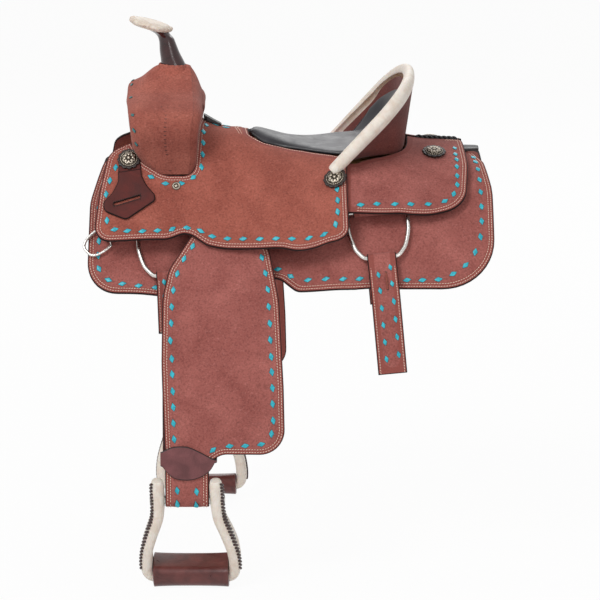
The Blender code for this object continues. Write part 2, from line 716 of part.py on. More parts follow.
def refine(rings, factor):
    """More sections along the path, on smooth curves through the given ones."""
    columns = [smooth_path([ring[k] for ring in rings], (len(rings) - 1) * factor) for k in range(len(rings[0]))]
    return [[column[i] for column in columns] for i in range((len(rings) - 1) * factor + 1)]


def horn_cutter(name, radius):
    bm = bmesh.new()
    bmesh.ops.create_cone(bm, cap_ends=True, segments=24, radius1=radius, radius2=radius, depth=0.06)
    mesh = bpy.data.meshes.new(name)
    bm.to_mesh(mesh)
    bm.free()
    cutter = bpy.data.objects.new(name, mesh)
    bpy.context.collection.objects.link(cutter)
    cutter.location = (HORN_X, 0, HORN_FLOOR_Z + 0.03)
    return cutter


def build_fork():
    wood = loft(refine(fork_rings(0.0, 0), 1))
    fork = mesh_object("fork", wood, WOOD)
    cut(fork, horn_cutter("fork_cutter", HORN_BASE_R + 0.0006))
    inner = refine(fork_rings(GAP + 0.0004, COVER_FIRST_STATION), 1)
    outer = refine(fork_rings(GAP + COVER_T, COVER_FIRST_STATION), 1)
    cover = mesh_object("fork_cover", shell(outer, inner), ROUGHOUT)
    cut(cover, horn_cutter("cover_cutter", HORN_BASE_R + 0.0010))


def ellipse_ring(centre, rx, ry, tilt, count=20):
    spin = Matrix.Rotation(tilt, 3, "Y")
    return [Vector(centre) + spin @ Vector((rx * math.cos(2 * math.pi * k / count),
                                            ry * math.sin(2 * math.pi * k / count), 0)) for k in range(count)]


def build_horn():
    """Leather-wrapped neck that leans forward and flares under the cap."""
    rings = []
    profile = [(0.0003, -0.2030, 0.0213, 0.0), (0.0120, -0.2030, 0.0213, 0.0), (0.0190, -0.2026, 0.0208, 0.15),
               (0.0378, -0.2081, 0.0176, 0.45), (0.0552, -0.2119, 0.0149, 0.7), (0.0650, -0.2162, 0.0158, 0.9)]
    for rise, x, radius, turn in profile:
        rings.append(ellipse_ring((x, 0, HORN_FLOOR_Z + rise), radius, radius, CAP_TILT * turn))
    spin = Matrix.Rotation(CAP_TILT, 3, "Y")
    for drop, back, rx, ry in ((0.0098, 0.0180, 0.0200, 0.0210), (0.0065, 0.004, 0.0295, 0.0285)):
        centre = CAP_CENTRE + spin @ Vector((back, 0, -drop))
        rings.append(ellipse_ring(centre, rx, ry, CAP_TILT))
    mesh_object("horn", loft(rings), DARK_LEATHER)
    cap = [ellipse_ring(CAP_CENTRE + spin @ Vector((0, 0, h)), CAP_R * r, CAP_R * r * 0.94, CAP_TILT, 24)
           for h, r in ((-0.0055, 0.90), (0.0020, 0.90), (0.0045, 0.84), (0.0055, 0.72))]
    mesh_object("horn_cap", loft(cap), RAWHIDE)
    roll = ellipse_ring(CAP_CENTRE, CAP_R + 0.0008, CAP_R * 0.94 + 0.0012, CAP_TILT, 24)
    tube_curve("horn_cap_binding", roll, 0.0042, RAWHIDE, closed=True, resolution=1)


# Rear jockeys and what ties them

def build_rear_jockey(side_name, side):
    """Leather behind the cantle; its inner edge follows the foot of the cantle."""
    inner = []
    for x, sideways in cantle_foot_line(BOARD_HALF_T + 0.0070, 13)[1:]:
        run, p = REAR.table(x)
        inner.append((x, float(np.interp(sideways, p[:, 0], run)), 0))
    inner = [(inner[0][0], 0.007, 0.003)] + inner + [(0.103, inner[-1][1], 0.002)]
    outline = rounded_outline(inner + REAR_JOCKEY_OUTLINE, 0.038)
    rows = [0.035, 0.06, 0.085, 0.11, 0.14, 0.17, 0.20]
    mesh_object("rear_jockey_" + side_name, panel(on(REAR, side), [outline], steps(0.13, 0.28, 0.037), rows,
                                                  -0.0045, 0.0, clear=0.008), ROUGHOUT)


def build_rear_ties():
    ridge = [REAR.point(x, 0, -0.0028) for x in steps(0.2195, 0.290, 0.0067)]
    tube_curve("rear_lacing", ridge, 0.0060, BLACK_LEATHER, resolution=2)
    saddle_strap = rounded_outline([(0.3020, 0.024, 0.003), (0.3290, 0.020, 0.008), (0.3290, -0.020, 0.008),
                                    (0.3020, -0.024, 0.003)], 0.012)
    mesh_object("rear_tie", panel(on(SKIRT, -1), [saddle_strap], [0.315], [-0.01, 0, 0.01], 0.0006, 0.0052,
                                  edge=0.001, clear=0.003), BLACK_LEATHER)


# Conchos and ferrules

def disc(rings, count, scallops=0):
    """Turned solid about Z from (radius, height, scallop depth) triples."""
    loops = []
    for radius, height, depth in rings:
        ring = []
        for k in range(count):
            a = 2 * math.pi * k / count
            r = radius - depth * (1 - abs(math.cos(a * scallops / 2)))
            ring.append(Vector((r * math.cos(a), r * math.sin(a), height)))
        loops.append(ring)
    return loft(loops)


def seat_on(bm, drape, x, s, side, lift):
    """Move a solid built about Z onto a draped surface."""
    n = drape.normal(x, s, side)
    turn = Vector((0, 0, 1)).rotation_difference(n).to_matrix().to_4x4()
    bm.transform(Matrix.Translation(drape.point(x, s, 0, side) + n * lift) @ turn)
    return bm


CONCHO_PLACES = [("front", SEAT, -0.2745, 0.1215, 0.0012), ("middle", SEAT, 0.0775, 0.1870, 0.0012),
                 ("rear", REAR, 0.2480, 0.0790, 0.0030)]


def build_conchos(side_name, side):
    """Domed metal concho riveted to its scalloped leather rosette, one turned piece at each place."""
    for place, drape, x, s, lift in CONCHO_PLACES:
        profile = [(ROSETTE_R, 0, 0.0018), (ROSETTE_R, 0.0026, 0.0018), (CONCHO_R, 0.0030, 0),
                   (CONCHO_R - 0.001, 0.0046, 0), (0.0080, 0.0068, 0)]
        piece = seat_on(disc(profile, 20, 10), drape, x, s, side, lift)
        mesh_object(f"{place}_concho_{side_name}", piece, SILVER)
    ring = disc([(0.0074, 0, 0), (0.0074, 0.0010, 0), (0.0058, 0.0022, 0)], 10)
    mesh_object("string_ferrule_" + side_name, seat_on(ring, SEAT, -0.193, 0.181, side, 0.0005), SILVER)


# Local flat frames on the draped surface, for dees and straps

class Flat:
    """Flat frame on a draped surface: u along the dee's bar, w down, n outwards."""

    def __init__(self, drape, x, s_top, s_bottom, spin, side, lift):
        top = drape.point(x, s_top, 0, side)
        low = drape.point(x, s_bottom, 0, side)
        down = (low - top).normalized()
        along = drape.point(x + 0.03, s_top, 0, side) - drape.point(x - 0.03, s_top, 0, side)
        along = (along - down * along.dot(down)).normalized()
        n = along.cross(down)
        if n.z < 0:
            n = -n
        self.u = along * math.cos(spin) - down * math.sin(spin)
        self.w = along * math.sin(spin) + down * math.cos(spin)
        self.n = n.normalized()
        self.origin = top + self.n * lift

    def at(self, u, w, n=0.0):
        return self.origin + self.u * u + self.w * w + self.n * n


def dee_outline(half, height, flat, arc):
    """One wire dee: straight bar, bowed sides, and a bottom that is straight over flat."""
    corners = [(-half, 0, 0.006), (-half * 1.02, height * 0.45, 0.08), (-half * 0.84, height * 0.81, 0.04),
               (-flat, height, 0.012), (flat, height, 0.012), (half * 0.84, height * 0.81, 0.04),
               (half * 1.02, height * 0.45, 0.08), (half, 0, 0.006)]
    return [(p.x, p.y) for p in rounded_outline(corners, 0.05, arc)]


def build_dee(name, frame, half, height, flat, radius, arc=28):
    points = [frame.at(u, w) for u, w in dee_outline(half, height, flat, arc)]
    tube_curve(name, points, radius, STEEL, closed=True, resolution=1, origin=frame.origin)


def tail_lines(length, half, bend):
    """Upper and lower edge of a strap's tail that bends inwards: bend is (start, angle, radius)."""
    start, angle, radius = bend
    stations = [(start, 0.0, 0.0)]
    stations += [(start + radius * math.sin(angle * k / 5), -radius * (1 - math.cos(angle * k / 5)), angle * k / 5)
                 for k in range(1, 6)]
    w, n, a = stations[-1]
    rest = length - start - radius * angle
    stations.append((w + rest * math.cos(a), n - rest * math.sin(a), a))
    upper = [(w + half * math.sin(a), n + half * math.cos(a)) for w, n, a in stations]
    lower = [(w - half * math.sin(a), n - half * math.cos(a)) for w, n, a in stations]
    return upper, lower


def strap_with_eye(frame, half_w, eye_w, eye_r, hole_r, tail, thick, drop=0.0, bend=None):
    """Strap section with a round eye at w = eye_w and a tail along w, extruded along u."""
    sign = 1 if tail > 0 else -1
    base = thick / 2
    a0 = math.asin(min(0.95, (base + abs(drop)) / eye_r))
    outer, count = [], 12
    for k in range(count + 1):
        a = a0 + (2 * math.pi - 2 * a0) * k / count
        outer.append((eye_w + sign * eye_r * math.cos(a), eye_r * math.sin(a)))
    if bend:
        upper, lower = tail_lines(tail, base, bend)
        outer += [(eye_w + w, n) for w, n in lower] + [(eye_w + w, n) for w, n in reversed(upper)]
    else:
        outer.append((eye_w + tail, -base + drop))
        outer.append((eye_w + tail, base + drop))
    hole = [(eye_w + hole_r * math.cos(2 * math.pi * k / 12), hole_r * math.sin(2 * math.pi * k / 12))
            for k in range(12)]
    coords = [Vector(p) for p in outer + hole]
    n, m = len(outer), len(hole)
    edges = [(k, (k + 1) % n) for k in range(n)] + [(n + k, n + (k + 1) % m) for k in range(m)]
    out = delaunay_2d_cdt(coords, edges, [], 1, 1e-7)
    verts = out[0]
    outline, eye = [Vector(p) for p in outer], [Vector(p) for p in hole]
    faces = []
    for face in out[2]:
        middle = sum((verts[k] for k in face), Vector((0, 0))) / 3
        if inside(middle, outline) and not inside(middle, eye):
            faces.append(list(face))
    bm = bmesh.new()
    near = [bm.verts.new(frame.at(-half_w, p.x, p.y)) for p in verts]
    far = [bm.verts.new(frame.at(half_w, p.x, p.y)) for p in verts]
    uses = set()
    for face in faces:
        bm.faces.new([near[k] for k in face])
        bm.faces.new([far[k] for k in reversed(face)])
        uses.update(zip(face, face[1:] + face[:1]))
    for a, b in uses:
        if (b, a) not in uses:
            bm.faces.new((near[b], near[a], far[a], far[b]))
    return bm


def build_rigging(side_name, side):
    rear = Flat(SKIRT, side=side, lift=DEE_LIFT, **REAR_DEE)
    front = Flat(SKIRT, side=side, lift=DEE_LIFT, **FRONT_DEE)
    breast = Flat(SKIRT, side=side, lift=BREAST_DEE_LIFT, **BREAST_DEE)
    eye = dict(eye_w=0, eye_r=DEE_R + 0.0040, hole_r=DEE_R + 0.0006)
    mesh_object("rear_rigging_strap_" + side_name,
                strap_with_eye(rear, 0.0400, tail=-0.036, thick=0.0085, drop=-0.003, **eye), ROUGHOUT)
    mesh_object("front_rigging_strap_" + side_name,
                strap_with_eye(front, 0.038, tail=-0.026, thick=0.0085, drop=-0.003, **eye), ROUGHOUT)
    build_dee("rear_dee_" + side_name, rear, 0.0500, REAR_DEE_H, 0.029, DEE_R)
    build_dee("front_dee_" + side_name, front, 0.0525, FRONT_DEE_H, 0.029, DEE_R)
    mesh_object("breast_dee_tab_" + side_name,
                strap_with_eye(breast, 0.0100, eye_w=0, eye_r=0.0054, hole_r=0.0031, tail=-0.022, thick=0.005,
                               drop=-0.002), DARK_LEATHER)
    build_dee("breast_dee_" + side_name, breast, 0.0195, 0.041, 0.009, 0.0025, 45)
    hang = (0.062, 0.85 * rear.w.angle(Vector((0, 0, -1))), 0.045)
    build_billet("rear_billet_" + side_name, rear, REAR_DEE_H, REAR_BILLET_L, hang)
    front.origin = front.at(0, FRONT_DEE_H)
    front.w, front.n = (front.w * math.cos(FRONT_BILLET_TILT) - front.n * math.sin(FRONT_BILLET_TILT),
                        front.n * math.cos(FRONT_BILLET_TILT) + front.w * math.sin(FRONT_BILLET_TILT))
    build_billet("front_billet_" + side_name, front, 0, FRONT_BILLET_L)


def build_billet(name, frame, w_eye, length, bend=None):
    """Folded billet strap round the bottom of its dee; a long one hangs down past the skirt."""
    bm = strap_with_eye(frame, BILLET_W / 2, eye_w=w_eye, eye_r=DEE_R + 0.0036, hole_r=DEE_R + 0.0008,
                        tail=length, thick=0.0076, bend=bend)
    mesh_object(name, bm, ROUGHOUT, origin=frame.at(0, w_eye))


def build_latigo_keeper():
    slot = rounded_outline([(-0.299, 0.2025, 0.002), (-0.2535, 0.1945, 0.002), (-0.2535, 0.2000, 0.002),
                            (-0.299, 0.2080, 0.002)], 0.02, arc=60)
    outline = rounded_outline(KEEPER_OUTLINE, 0.02)
    mesh_object("latigo_keeper", panel(on(SEAT, -1), [outline, slot], steps(-0.30, -0.245, 0.018),
                                       [0.155, 0.17, 0.185, 0.215, 0.225], 0.0007, 0.0047, edge=0.0008, clear=0.004),
                DARK_LEATHER, origin=SEAT.point(-0.274, 0.1455, 0.0007, -1))


# Fender, stirrup leather and hobble strap

def fender_slope(run):
    return FENDER_SLOPE + min(max(run - FENDER_STRAIGHT, 0) / FENDER_BEND_R, FENDER_BEND)


def fender_path(run):
    """Sideways place, height and slope of the fender's back face at a run below the pivot."""
    l, z = FENDER_PIVOT[1], FENDER_PIVOT[2]
    straight = min(run, FENDER_STRAIGHT)
    l += straight * math.cos(FENDER_SLOPE)
    z -= straight * math.sin(FENDER_SLOPE)
    if run > FENDER_STRAIGHT:
        end = FENDER_SLOPE + FENDER_BEND
        now = fender_slope(run)
        l += FENDER_BEND_R * (math.sin(now) - math.sin(FENDER_SLOPE))
        z -= FENDER_BEND_R * (math.cos(FENDER_SLOPE) - math.cos(now))
        rest = run - FENDER_STRAIGHT - FENDER_BEND_R * FENDER_BEND
        if rest > 0:
            l += rest * math.cos(end)
            z -= rest * math.sin(end)
    return l, z, fender_slope(run)


def on_fender(side):
    """Placing function for the flat part: u along X from the fender's centre line, v down."""
    def place(u, v, lift):
        l, z, slope = fender_path(v)
        return Vector((-0.134 + u, side * (l + lift * math.sin(slope)), z + lift * math.cos(slope)))
    return place


def bolt_centre(side):
    l, z, slope = fender_path(BOLT_RUN)
    reach = LOOP_R
    return Vector((NECK_X, side * (l - reach * math.sin(slope)), z - reach * math.cos(slope)))


def loop_place(side):
    """Placing function for the neck: past the bolt's level the leather wraps it and runs back up."""
    centre = bolt_centre(side)
    slope = fender_slope(BOLT_RUN)
    half_turn = math.pi * LOOP_R

    def place(u, v, lift):
        if v <= BOLT_RUN:
            return on_fender(side)(u, v, lift)
        past = v - BOLT_RUN
        a = min(past / half_turn, 1.0) * math.pi
        r = LOOP_R + lift
        out = math.cos(a) * r
        down = math.sin(a) * r
        if past > half_turn:
            down -= past - half_turn
        l = abs(centre.y) + out * math.sin(slope) + down * math.cos(slope)
        z = centre.z + out * math.cos(slope) - down * math.sin(slope)
        return Vector((-0.134 + u, side * l, z))
    return place


def build_fender(side_name, side):
    """Fender with its neck, which goes round the stirrup bolt and back up behind."""
    half_turn = math.pi * LOOP_R
    end = BOLT_RUN + half_turn + 0.022
    u0, u1 = -0.0745, -0.001
    neck_rows = [BOLT_RUN + half_turn * k / 6 for k in range(7)]
    down = [(u0, 0.500 + 0.015 * k, 0) for k in range(1, 2)] + [(u0, v, 0) for v in neck_rows]
    back = [(u1, v, 0) for v in reversed(neck_rows)] + [(u1, 0.515, 0)]
    corners = FENDER_OUTLINE + down + [(u0, end, 0), (u1, end, 0)] + back + FENDER_OUTLINE_REAR
    outline = rounded_outline(corners, 0.042)
    rows = [0.08, 0.14, 0.20, 0.24, 0.28, 0.32, 0.36, 0.41, 0.46, 0.50]
    pivot = Vector((FENDER_PIVOT[0], side * FENDER_PIVOT[1], FENDER_PIVOT[2]))
    cols = steps(-0.04, 0.09, 0.044)
    mesh_object("fender_" + side_name, panel(loop_place(side), [outline], cols, rows + neck_rows, 0.0, FENDER_T,
                                             clear=0.007), ROUGHOUT, origin=pivot)
    strap = rounded_outline([(-0.0755, 0.016, 0.012), (-0.050, -0.004, 0.02), (-0.031, -0.034, 0.010),
                             (0.0005, -0.034, 0.018), (0.0005, 0.452, 0.004), (-0.0765, 0.452, 0.004)], 0.04)
    mesh_object("stirrup_leather_" + side_name,
                panel(on_fender(side), [strap], [-0.0375], rows[:-2] + [0.02], -0.0005 - STRAP_T, -0.0006, edge=0,
                      clear=0.007), DARK_LEATHER, origin=pivot)
    build_hobble(side_name, side, pivot)


def build_hobble(side_name, side, pivot):
    """Broad dark strap wrapped round leather and neck above the stirrup."""
    place = on_fender(side)
    upper = [(-0.0800, 0.446), (-0.060, 0.438), (-0.0375, 0.4375), (-0.015, 0.446), (0.000, 0.455), (0.0095, 0.459)]
    lower = [(-0.0800, 0.470), (-0.062, 0.490), (-0.0375, 0.4945), (-0.018, 0.490), (0.000, 0.479), (0.0095, 0.464)]
    count = 9
    top = smooth_path([(u, v, 0) for u, v in upper], count)
    low = smooth_path([(u, v, 0) for u, v in lower], count)
    front_in, front_out = FENDER_T + 0.0005, FENDER_T + 0.0040
    back_in, back_out = -0.0062, -0.0097
    rows_out, rows_in = [], []
    for k in range(count + 1):
        a, b = top[k], low[k]
        rows_out.append([place(a.x + (b.x - a.x) * t, a.y + (b.y - a.y) * t, front_out) for t in (0, 0.33, 0.67, 1)])
        rows_in.append([place(a.x + (b.x - a.x) * t, a.y + (b.y - a.y) * t, front_in) for t in (0, 0.33, 0.67, 1)])
    for k in range(count, -1, -1):
        a, b = top[k], low[k]
        v0, v1 = max(a.y, 0.4545), min(b.y, 0.482)
        u = (a.x + b.x) / 2
        rows_out.append([place(u, v0 + (v1 - v0) * t, back_out) for t in (0, 0.33, 0.67, 1)])
        rows_in.append([place(u, v0 + (v1 - v0) * t, back_in) for t in (0, 0.33, 0.67, 1)])
    rings = [outer + list(reversed(inner)) for outer, inner in zip(rows_out, rows_in)]
    for ring, u in zip((rings[0], rings[count], rings[count + 1], rings[-1]), (-0.0820, 0.0125, 0.0125, -0.0820)):
        for k in range(4):
            ring[k] = Vector((-0.134 + u, ring[k].y, ring[k].z))
    mesh_object("hobble_strap_" + side_name, loft(rings, closed_path=True), DARK_LEATHER, origin=pivot)


# Stirrup

def stirrup_frame(side):
    """Placing function in the stirrup's plane: u along X, w down from the bolt, q outwards."""
    centre = bolt_centre(side)
    down = Vector((0, -side * math.sin(STIRRUP_TILT), -math.cos(STIRRUP_TILT)))
    out = Vector((0, side * math.cos(STIRRUP_TILT), -math.sin(STIRRUP_TILT)))

    def place(u, w, q):
        return centre + Vector((u + STIRRUP_SHEAR * w, 0, 0)) + down * w + out * q
    return place


def build_stirrup(side_name, side):
    place = stirrup_frame(side)
    centre = bolt_centre(side)
    half = [(0.0490, -0.037, 0), (0.0492, -0.015, 0), (0.0495, 0.006, 0), (0.0525, 0.032, 0), (0.0635, 0.062, 0),
            (0.0722, 0.090, 0), (0.0750, 0.116, 0), (0.0722, 0.1325, 0), (0.0635, 0.1405, 0),
            (0.0450, FRAME_BAR_W, 0), (0.0150, FRAME_BAR_W, 0)]
    path = smooth_path([(-u, w, 0) for u, w, _ in half] + [(u, w, 0) for u, w, _ in reversed(half)], 25)
    rings = []
    for k, p in enumerate(path):
        before, after = path[max(k - 1, 0)], path[min(k + 1, len(path) - 1)]
        t = (after - before).normalized()
        side_dir = Vector((t.y, -t.x))
        along = min(1.0, max(0.0, (p.y + 0.037) / 0.12))
        bottom = min(1.0, max(0.0, (0.073 - abs(p.x)) / 0.008)) if p.y > 0.11 else 0.0
        depth = 0.026 + 0.032 * along ** 1.3
        thick = 0.0195 - 0.0065 * bottom
        if k in (0, len(path) - 1):
            depth, thick = depth * 0.7, thick * 0.62
        section = round_section(depth, thick, min(depth, thick) * 0.46, 2)
        rings.append([place(p.x + side_dir.x * c, p.y + side_dir.y * c, q) for q, c in section])
    frame = mesh_object("stirrup_frame_" + side_name, loft(rings), RAWHIDE, origin=centre, smooth=50)
    cutter_bm = bmesh.new()
    bmesh.ops.create_cone(cutter_bm, cap_ends=True, segments=16, radius1=BOLT_R + 0.0004, radius2=BOLT_R + 0.0004,
                          depth=0.2, matrix=Matrix.Rotation(math.pi / 2, 4, "Y"))
    cutter_mesh = bpy.data.meshes.new("bolt_cutter")
    cutter_bm.to_mesh(cutter_mesh)
    cutter_bm.free()
    cutter = bpy.data.objects.new("bolt_cutter_" + side_name, cutter_mesh)
    bpy.context.collection.objects.link(cutter)
    cutter.location = centre
    cut(frame, cutter)
    build_bolt(side_name, centre)
    build_tread(side_name, place, centre)


def build_bolt(side_name, centre):
    """Bolt with its sleeve between the arms and a head at each end, turned in one profile."""
    arm = 0.0612
    profile = [(-arm - 0.0024, 0.0045), (-arm - 0.0018, 0.0068), (-arm - 0.0006, 0.0068), (-arm - 0.0006, BOLT_R),
               (-0.0385, BOLT_R), (-0.0385, SLEEVE_R)]
    profile += [(-x, r) for x, r in reversed(profile)]
    rings = []
    for x, r in profile:
        rings.append([centre + Vector((x, r * math.cos(math.pi * k / 5), r * math.sin(math.pi * k / 5)))
                      for k in range(10)])
    mesh_object("stirrup_bolt_" + side_name, loft(rings), STEEL, origin=centre)


def build_tread(side_name, place, centre):
    """Leather-wrapped tread: a rounded block with the frame's bottom bar through it."""
    outer = round_section(TREAD_DEPTH, TREAD_THICK, 0.012, 2)
    rings_out, rings_in = [], []
    hole = round_section(0.0605, 0.0165, 0.0072, 2)
    for u in (-TREAD_HALF_W, -TREAD_HALF_W + 0.004, 0, TREAD_HALF_W - 0.004, TREAD_HALF_W):
        shrink = 0.0015 if abs(u) == TREAD_HALF_W else 0.0
        rings_out.append([place(u, TREAD_W + c * (1 - shrink / (TREAD_THICK / 2)), q * (1 - shrink / 0.036)) for q, c in outer])
        rings_in.append([place(u, FRAME_BAR_W + c, q) for q, c in hole])
    bm = bmesh.new()
    out = [[bm.verts.new(p) for p in ring] for ring in rings_out]
    low = [[bm.verts.new(p) for p in ring] for ring in rings_in]
    count = len(outer)
    for i in range(len(out) - 1):
        for k in range(count):
            m = (k + 1) % count
            bm.faces.new((out[i][k], out[i][m], out[i + 1][m], out[i + 1][k]))
            bm.faces.new((low[i][k], low[i + 1][k], low[i + 1][m], low[i][m]))
    for i in (0, -1):
        for k in range(count):
            m = (k + 1) % count
            bm.faces.new((out[i][k], out[i][m], low[i][m], low[i][k]))
    mesh_object("stirrup_tread_" + side_name, bm, DARK_LEATHER, origin=centre)


# Assembly

def main():
    for obj in list(bpy.data.objects):
        bpy.data.objects.remove(obj)
    for side_name, side in SIDES:
        build_skirts(side_name, side)
        build_bar(side_name, side)
        build_rear_jockey(side_name, side)
        build_rigging(side_name, side)
        build_fender(side_name, side)
        build_stirrup(side_name, side)
        build_conchos(side_name, side)
    build_seat_leather()
    build_seat_pad()
    build_cantle()
    build_fork()
    build_horn()
    build_rear_ties()
    build_latigo_keeper()


main()
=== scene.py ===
import itertools
import json
import math
import random

import bmesh
import bpy
import numpy as np
from mathutils import Matrix, Vector, noise
from mathutils.geometry import delaunay_2d_cdt


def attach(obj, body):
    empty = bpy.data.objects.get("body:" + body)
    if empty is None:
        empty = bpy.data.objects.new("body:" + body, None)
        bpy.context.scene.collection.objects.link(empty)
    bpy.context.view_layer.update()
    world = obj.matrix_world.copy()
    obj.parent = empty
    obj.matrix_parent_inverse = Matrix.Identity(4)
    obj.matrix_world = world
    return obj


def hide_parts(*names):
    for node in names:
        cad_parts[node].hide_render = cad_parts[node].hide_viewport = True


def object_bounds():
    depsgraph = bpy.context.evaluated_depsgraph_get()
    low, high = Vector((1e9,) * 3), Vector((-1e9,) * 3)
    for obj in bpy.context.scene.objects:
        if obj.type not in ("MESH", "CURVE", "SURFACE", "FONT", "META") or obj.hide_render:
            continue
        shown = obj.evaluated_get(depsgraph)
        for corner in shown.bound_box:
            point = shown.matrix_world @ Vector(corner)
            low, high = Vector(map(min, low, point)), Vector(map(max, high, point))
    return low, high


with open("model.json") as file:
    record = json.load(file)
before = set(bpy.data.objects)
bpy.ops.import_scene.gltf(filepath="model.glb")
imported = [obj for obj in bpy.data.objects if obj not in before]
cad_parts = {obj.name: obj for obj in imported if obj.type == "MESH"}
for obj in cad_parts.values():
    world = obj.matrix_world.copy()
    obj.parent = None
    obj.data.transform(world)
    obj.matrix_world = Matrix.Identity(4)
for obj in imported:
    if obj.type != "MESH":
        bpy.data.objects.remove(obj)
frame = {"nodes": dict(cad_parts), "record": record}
cad_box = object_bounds()

# Frame: metres, +Z up, the pommel towards -X, the near (left) side towards -Y.
BODY_OF = {node: body for body, nodes in frame["record"]["behaviour"]["bodies"].items() for node in nodes}
SIDES = (("left", -1), ("right", 1))

# Leather and padding thicknesses, as in the CAD source
GAP = 0.0003
SKIRT_T = 0.0055
FLEECE_T = 0.012
FLEECE_INSET = 0.0170
SEAT_T = 0.005
FENDER_T = 0.0048

# Fork, horn and cantle
HORN_X = -0.2030
HORN_FLOOR_Z = 0.138
COVER_T = 0.0038
FORK_ALONG = 210
FORK_ACROSS = 110
LACE_HEIGHTS = (0.0345, 0.0590, 0.0840, 0.1050, 0.1215, 0.1330)
CAP_CENTRE = Vector((-0.2405, 0.0, 0.2245))
CAP_TILT = math.radians(15.0)
CAP_R = 0.0335
CANTLE_HALF_W = 0.170
CANTLE_ROLL_R = 0.0105
BOARD_HALF_T = 0.006
FOOT_SINK = 0.0054

# Fender and stirrup
FENDER_PIVOT = (-0.150, 0.131, -0.056)
FENDER_X = -0.134
FENDER_SLOPE = math.radians(57.5)
FENDER_STRAIGHT = 0.20
FENDER_BEND_R = 0.40
FENDER_BEND = math.radians(28.0)
NECK_X = -0.1718
LOOP_R = 0.0079
BOLT_RUN = 0.530
STIRRUP_TILT = math.radians(14.0)
STIRRUP_SHEAR = 0.035
TREAD_HALF_W = 0.0600
TREAD_W = 0.1370
TREAD_DEPTH = 0.072
TREAD_THICK = 0.038
FRAME_BAR_W = 0.1415

# Rigging dees and billets
DEE_R = 0.0040
DEE_LIFT = 0.0088
REAR_DEE = dict(x=0.1475, s_top=0.196, s_bottom=0.280, spin=math.radians(5.0))
FRONT_DEE = dict(x=-0.206, s_top=0.180, s_bottom=0.272, spin=math.radians(3.0))
BREAST_DEE = dict(x=-0.314, s_top=0.190, s_bottom=0.225, spin=math.radians(-48.0))
REAR_DEE_H = 0.086
FRONT_DEE_H = 0.088
BREAST_DEE_LIFT = 0.0064
BILLET_W = 0.0485
REAR_BILLET_L = 0.202
FRONT_BILLET_L = 0.100
FRONT_BILLET_TILT = math.radians(9.0)

# Conchos
ROSETTE_R = 0.0205
CONCHO_R = 0.0158
FERRULE_R = 0.0074

# Sewing: distances from the leather's edge to the two stitch rows and to the buck-stitched diamonds
ROW_1 = 0.0042
ROW_2 = 0.0088
STITCH_PITCH = 0.0046
STITCH_LIFT = 0.0002
DIAMOND_IN = 0.0158
DIAMOND_PITCH = 0.0250

# Small trims that keep the dressed part inside the CAD model's box
CAP_SINK = 0.0007
CAP_ROLL_TRIM = 0.0001
DEE_TRIM = 0.00015

# Camera and light
CAMERA_LIFT = math.radians(12.0)
CAMERA_DISTANCE = 5.0
CAMERA_TARGET = Vector((0.0177, 0.0, -0.264))
METRES_PER_PIXEL = 1.767e-3
IMAGE_WIDTH = 600
SENSOR_WIDTH = 36.0
FLOOR_HALF = 60
FLOOR_SHARE = 0.95
WORLD_LIGHT = 0.42
LAMPS = [
    ("key", (-2.4, -3.2, 3.8), 118.0, 2.2),
    ("fill", (1.9, -4.4, 1.3), 22.0, 1.3),
    ("back", (0.5, 4.0, 2.6), 60.0, 3.0),
]

SKIRT_STATIONS = [
    (-0.34, [(0, 0), (0.050, -0.014), (0.116, -0.082), (0.202, -0.232)]),
    (-0.24, [(0, 0), (0.055, -0.012), (0.122, -0.075), (0.212, -0.228)]),
    (-0.04, [(0, 0), (0.055, -0.012), (0.122, -0.075), (0.212, -0.228)]),
    (0.14, [(0, 0.002), (0.095, 0), (0.182, -0.045), (0.248, -0.202)]),
    (0.28, [(0, 0.007), (0.080, 0.001), (0.175, -0.030), (0.252, -0.200)]),
]
SEAT_STATIONS = [
    (-0.34, [(0, 0.055), (0.060, 0.055), (0.124, -0.012), (0.190, -0.128)]),
    (-0.20, [(0, 0.072), (0.070, 0.072), (0.122, -0.008), (0.193, -0.128)]),
    (-0.10, [(0, 0.0445), (0.062, 0.0445), (0.116, 0), (0.197, -0.130)]),
    (0, [(0, 0.018), (0.075, 0.030), (0.145, -0.002), (0.220, -0.132)]),
    (0.09, [(0, 0.016), (0.100, 0.027), (0.182, 0.030), (0.242, -0.110)]),
]
REAR_STATIONS = [
    (0.08, [(0, 0.020), (0.100, 0.027), (0.177, 0.020), (0.232, -0.108)]),
    (0.18, [(0, 0.032), (0.080, 0.030), (0.160, 0.010), (0.215, -0.085)]),
    (0.25, [(0, 0.026), (0.070, 0.020), (0.140, -0.005), (0.200, -0.077)]),
    (0.32, [(0, 0.0235), (0.070, 0.0155), (0.137, -0.010), (0.193, -0.077)]),
]
SKIRT_OUTLINE = [
    (-0.298, 0.014, 0.010), (-0.322, 0.026, 0.03), (-0.3435, 0.120, 0.10), (-0.3445, 0.287, 0.058),
    (-0.200, 0.303, 0.04), (-0.125, 0.303, 0.03), (-0.060, 0.270, 0.03), (-0.018, 0.270, 0.03),
    (0.012, 0.302, 0.03), (0.110, 0.331, 0.10), (0.3455, 0.339, 0.112), (0.3455, 0.150, 0.13),
    (0.334, 0.070, 0.05), (0.312, 0.014, 0.025),
]
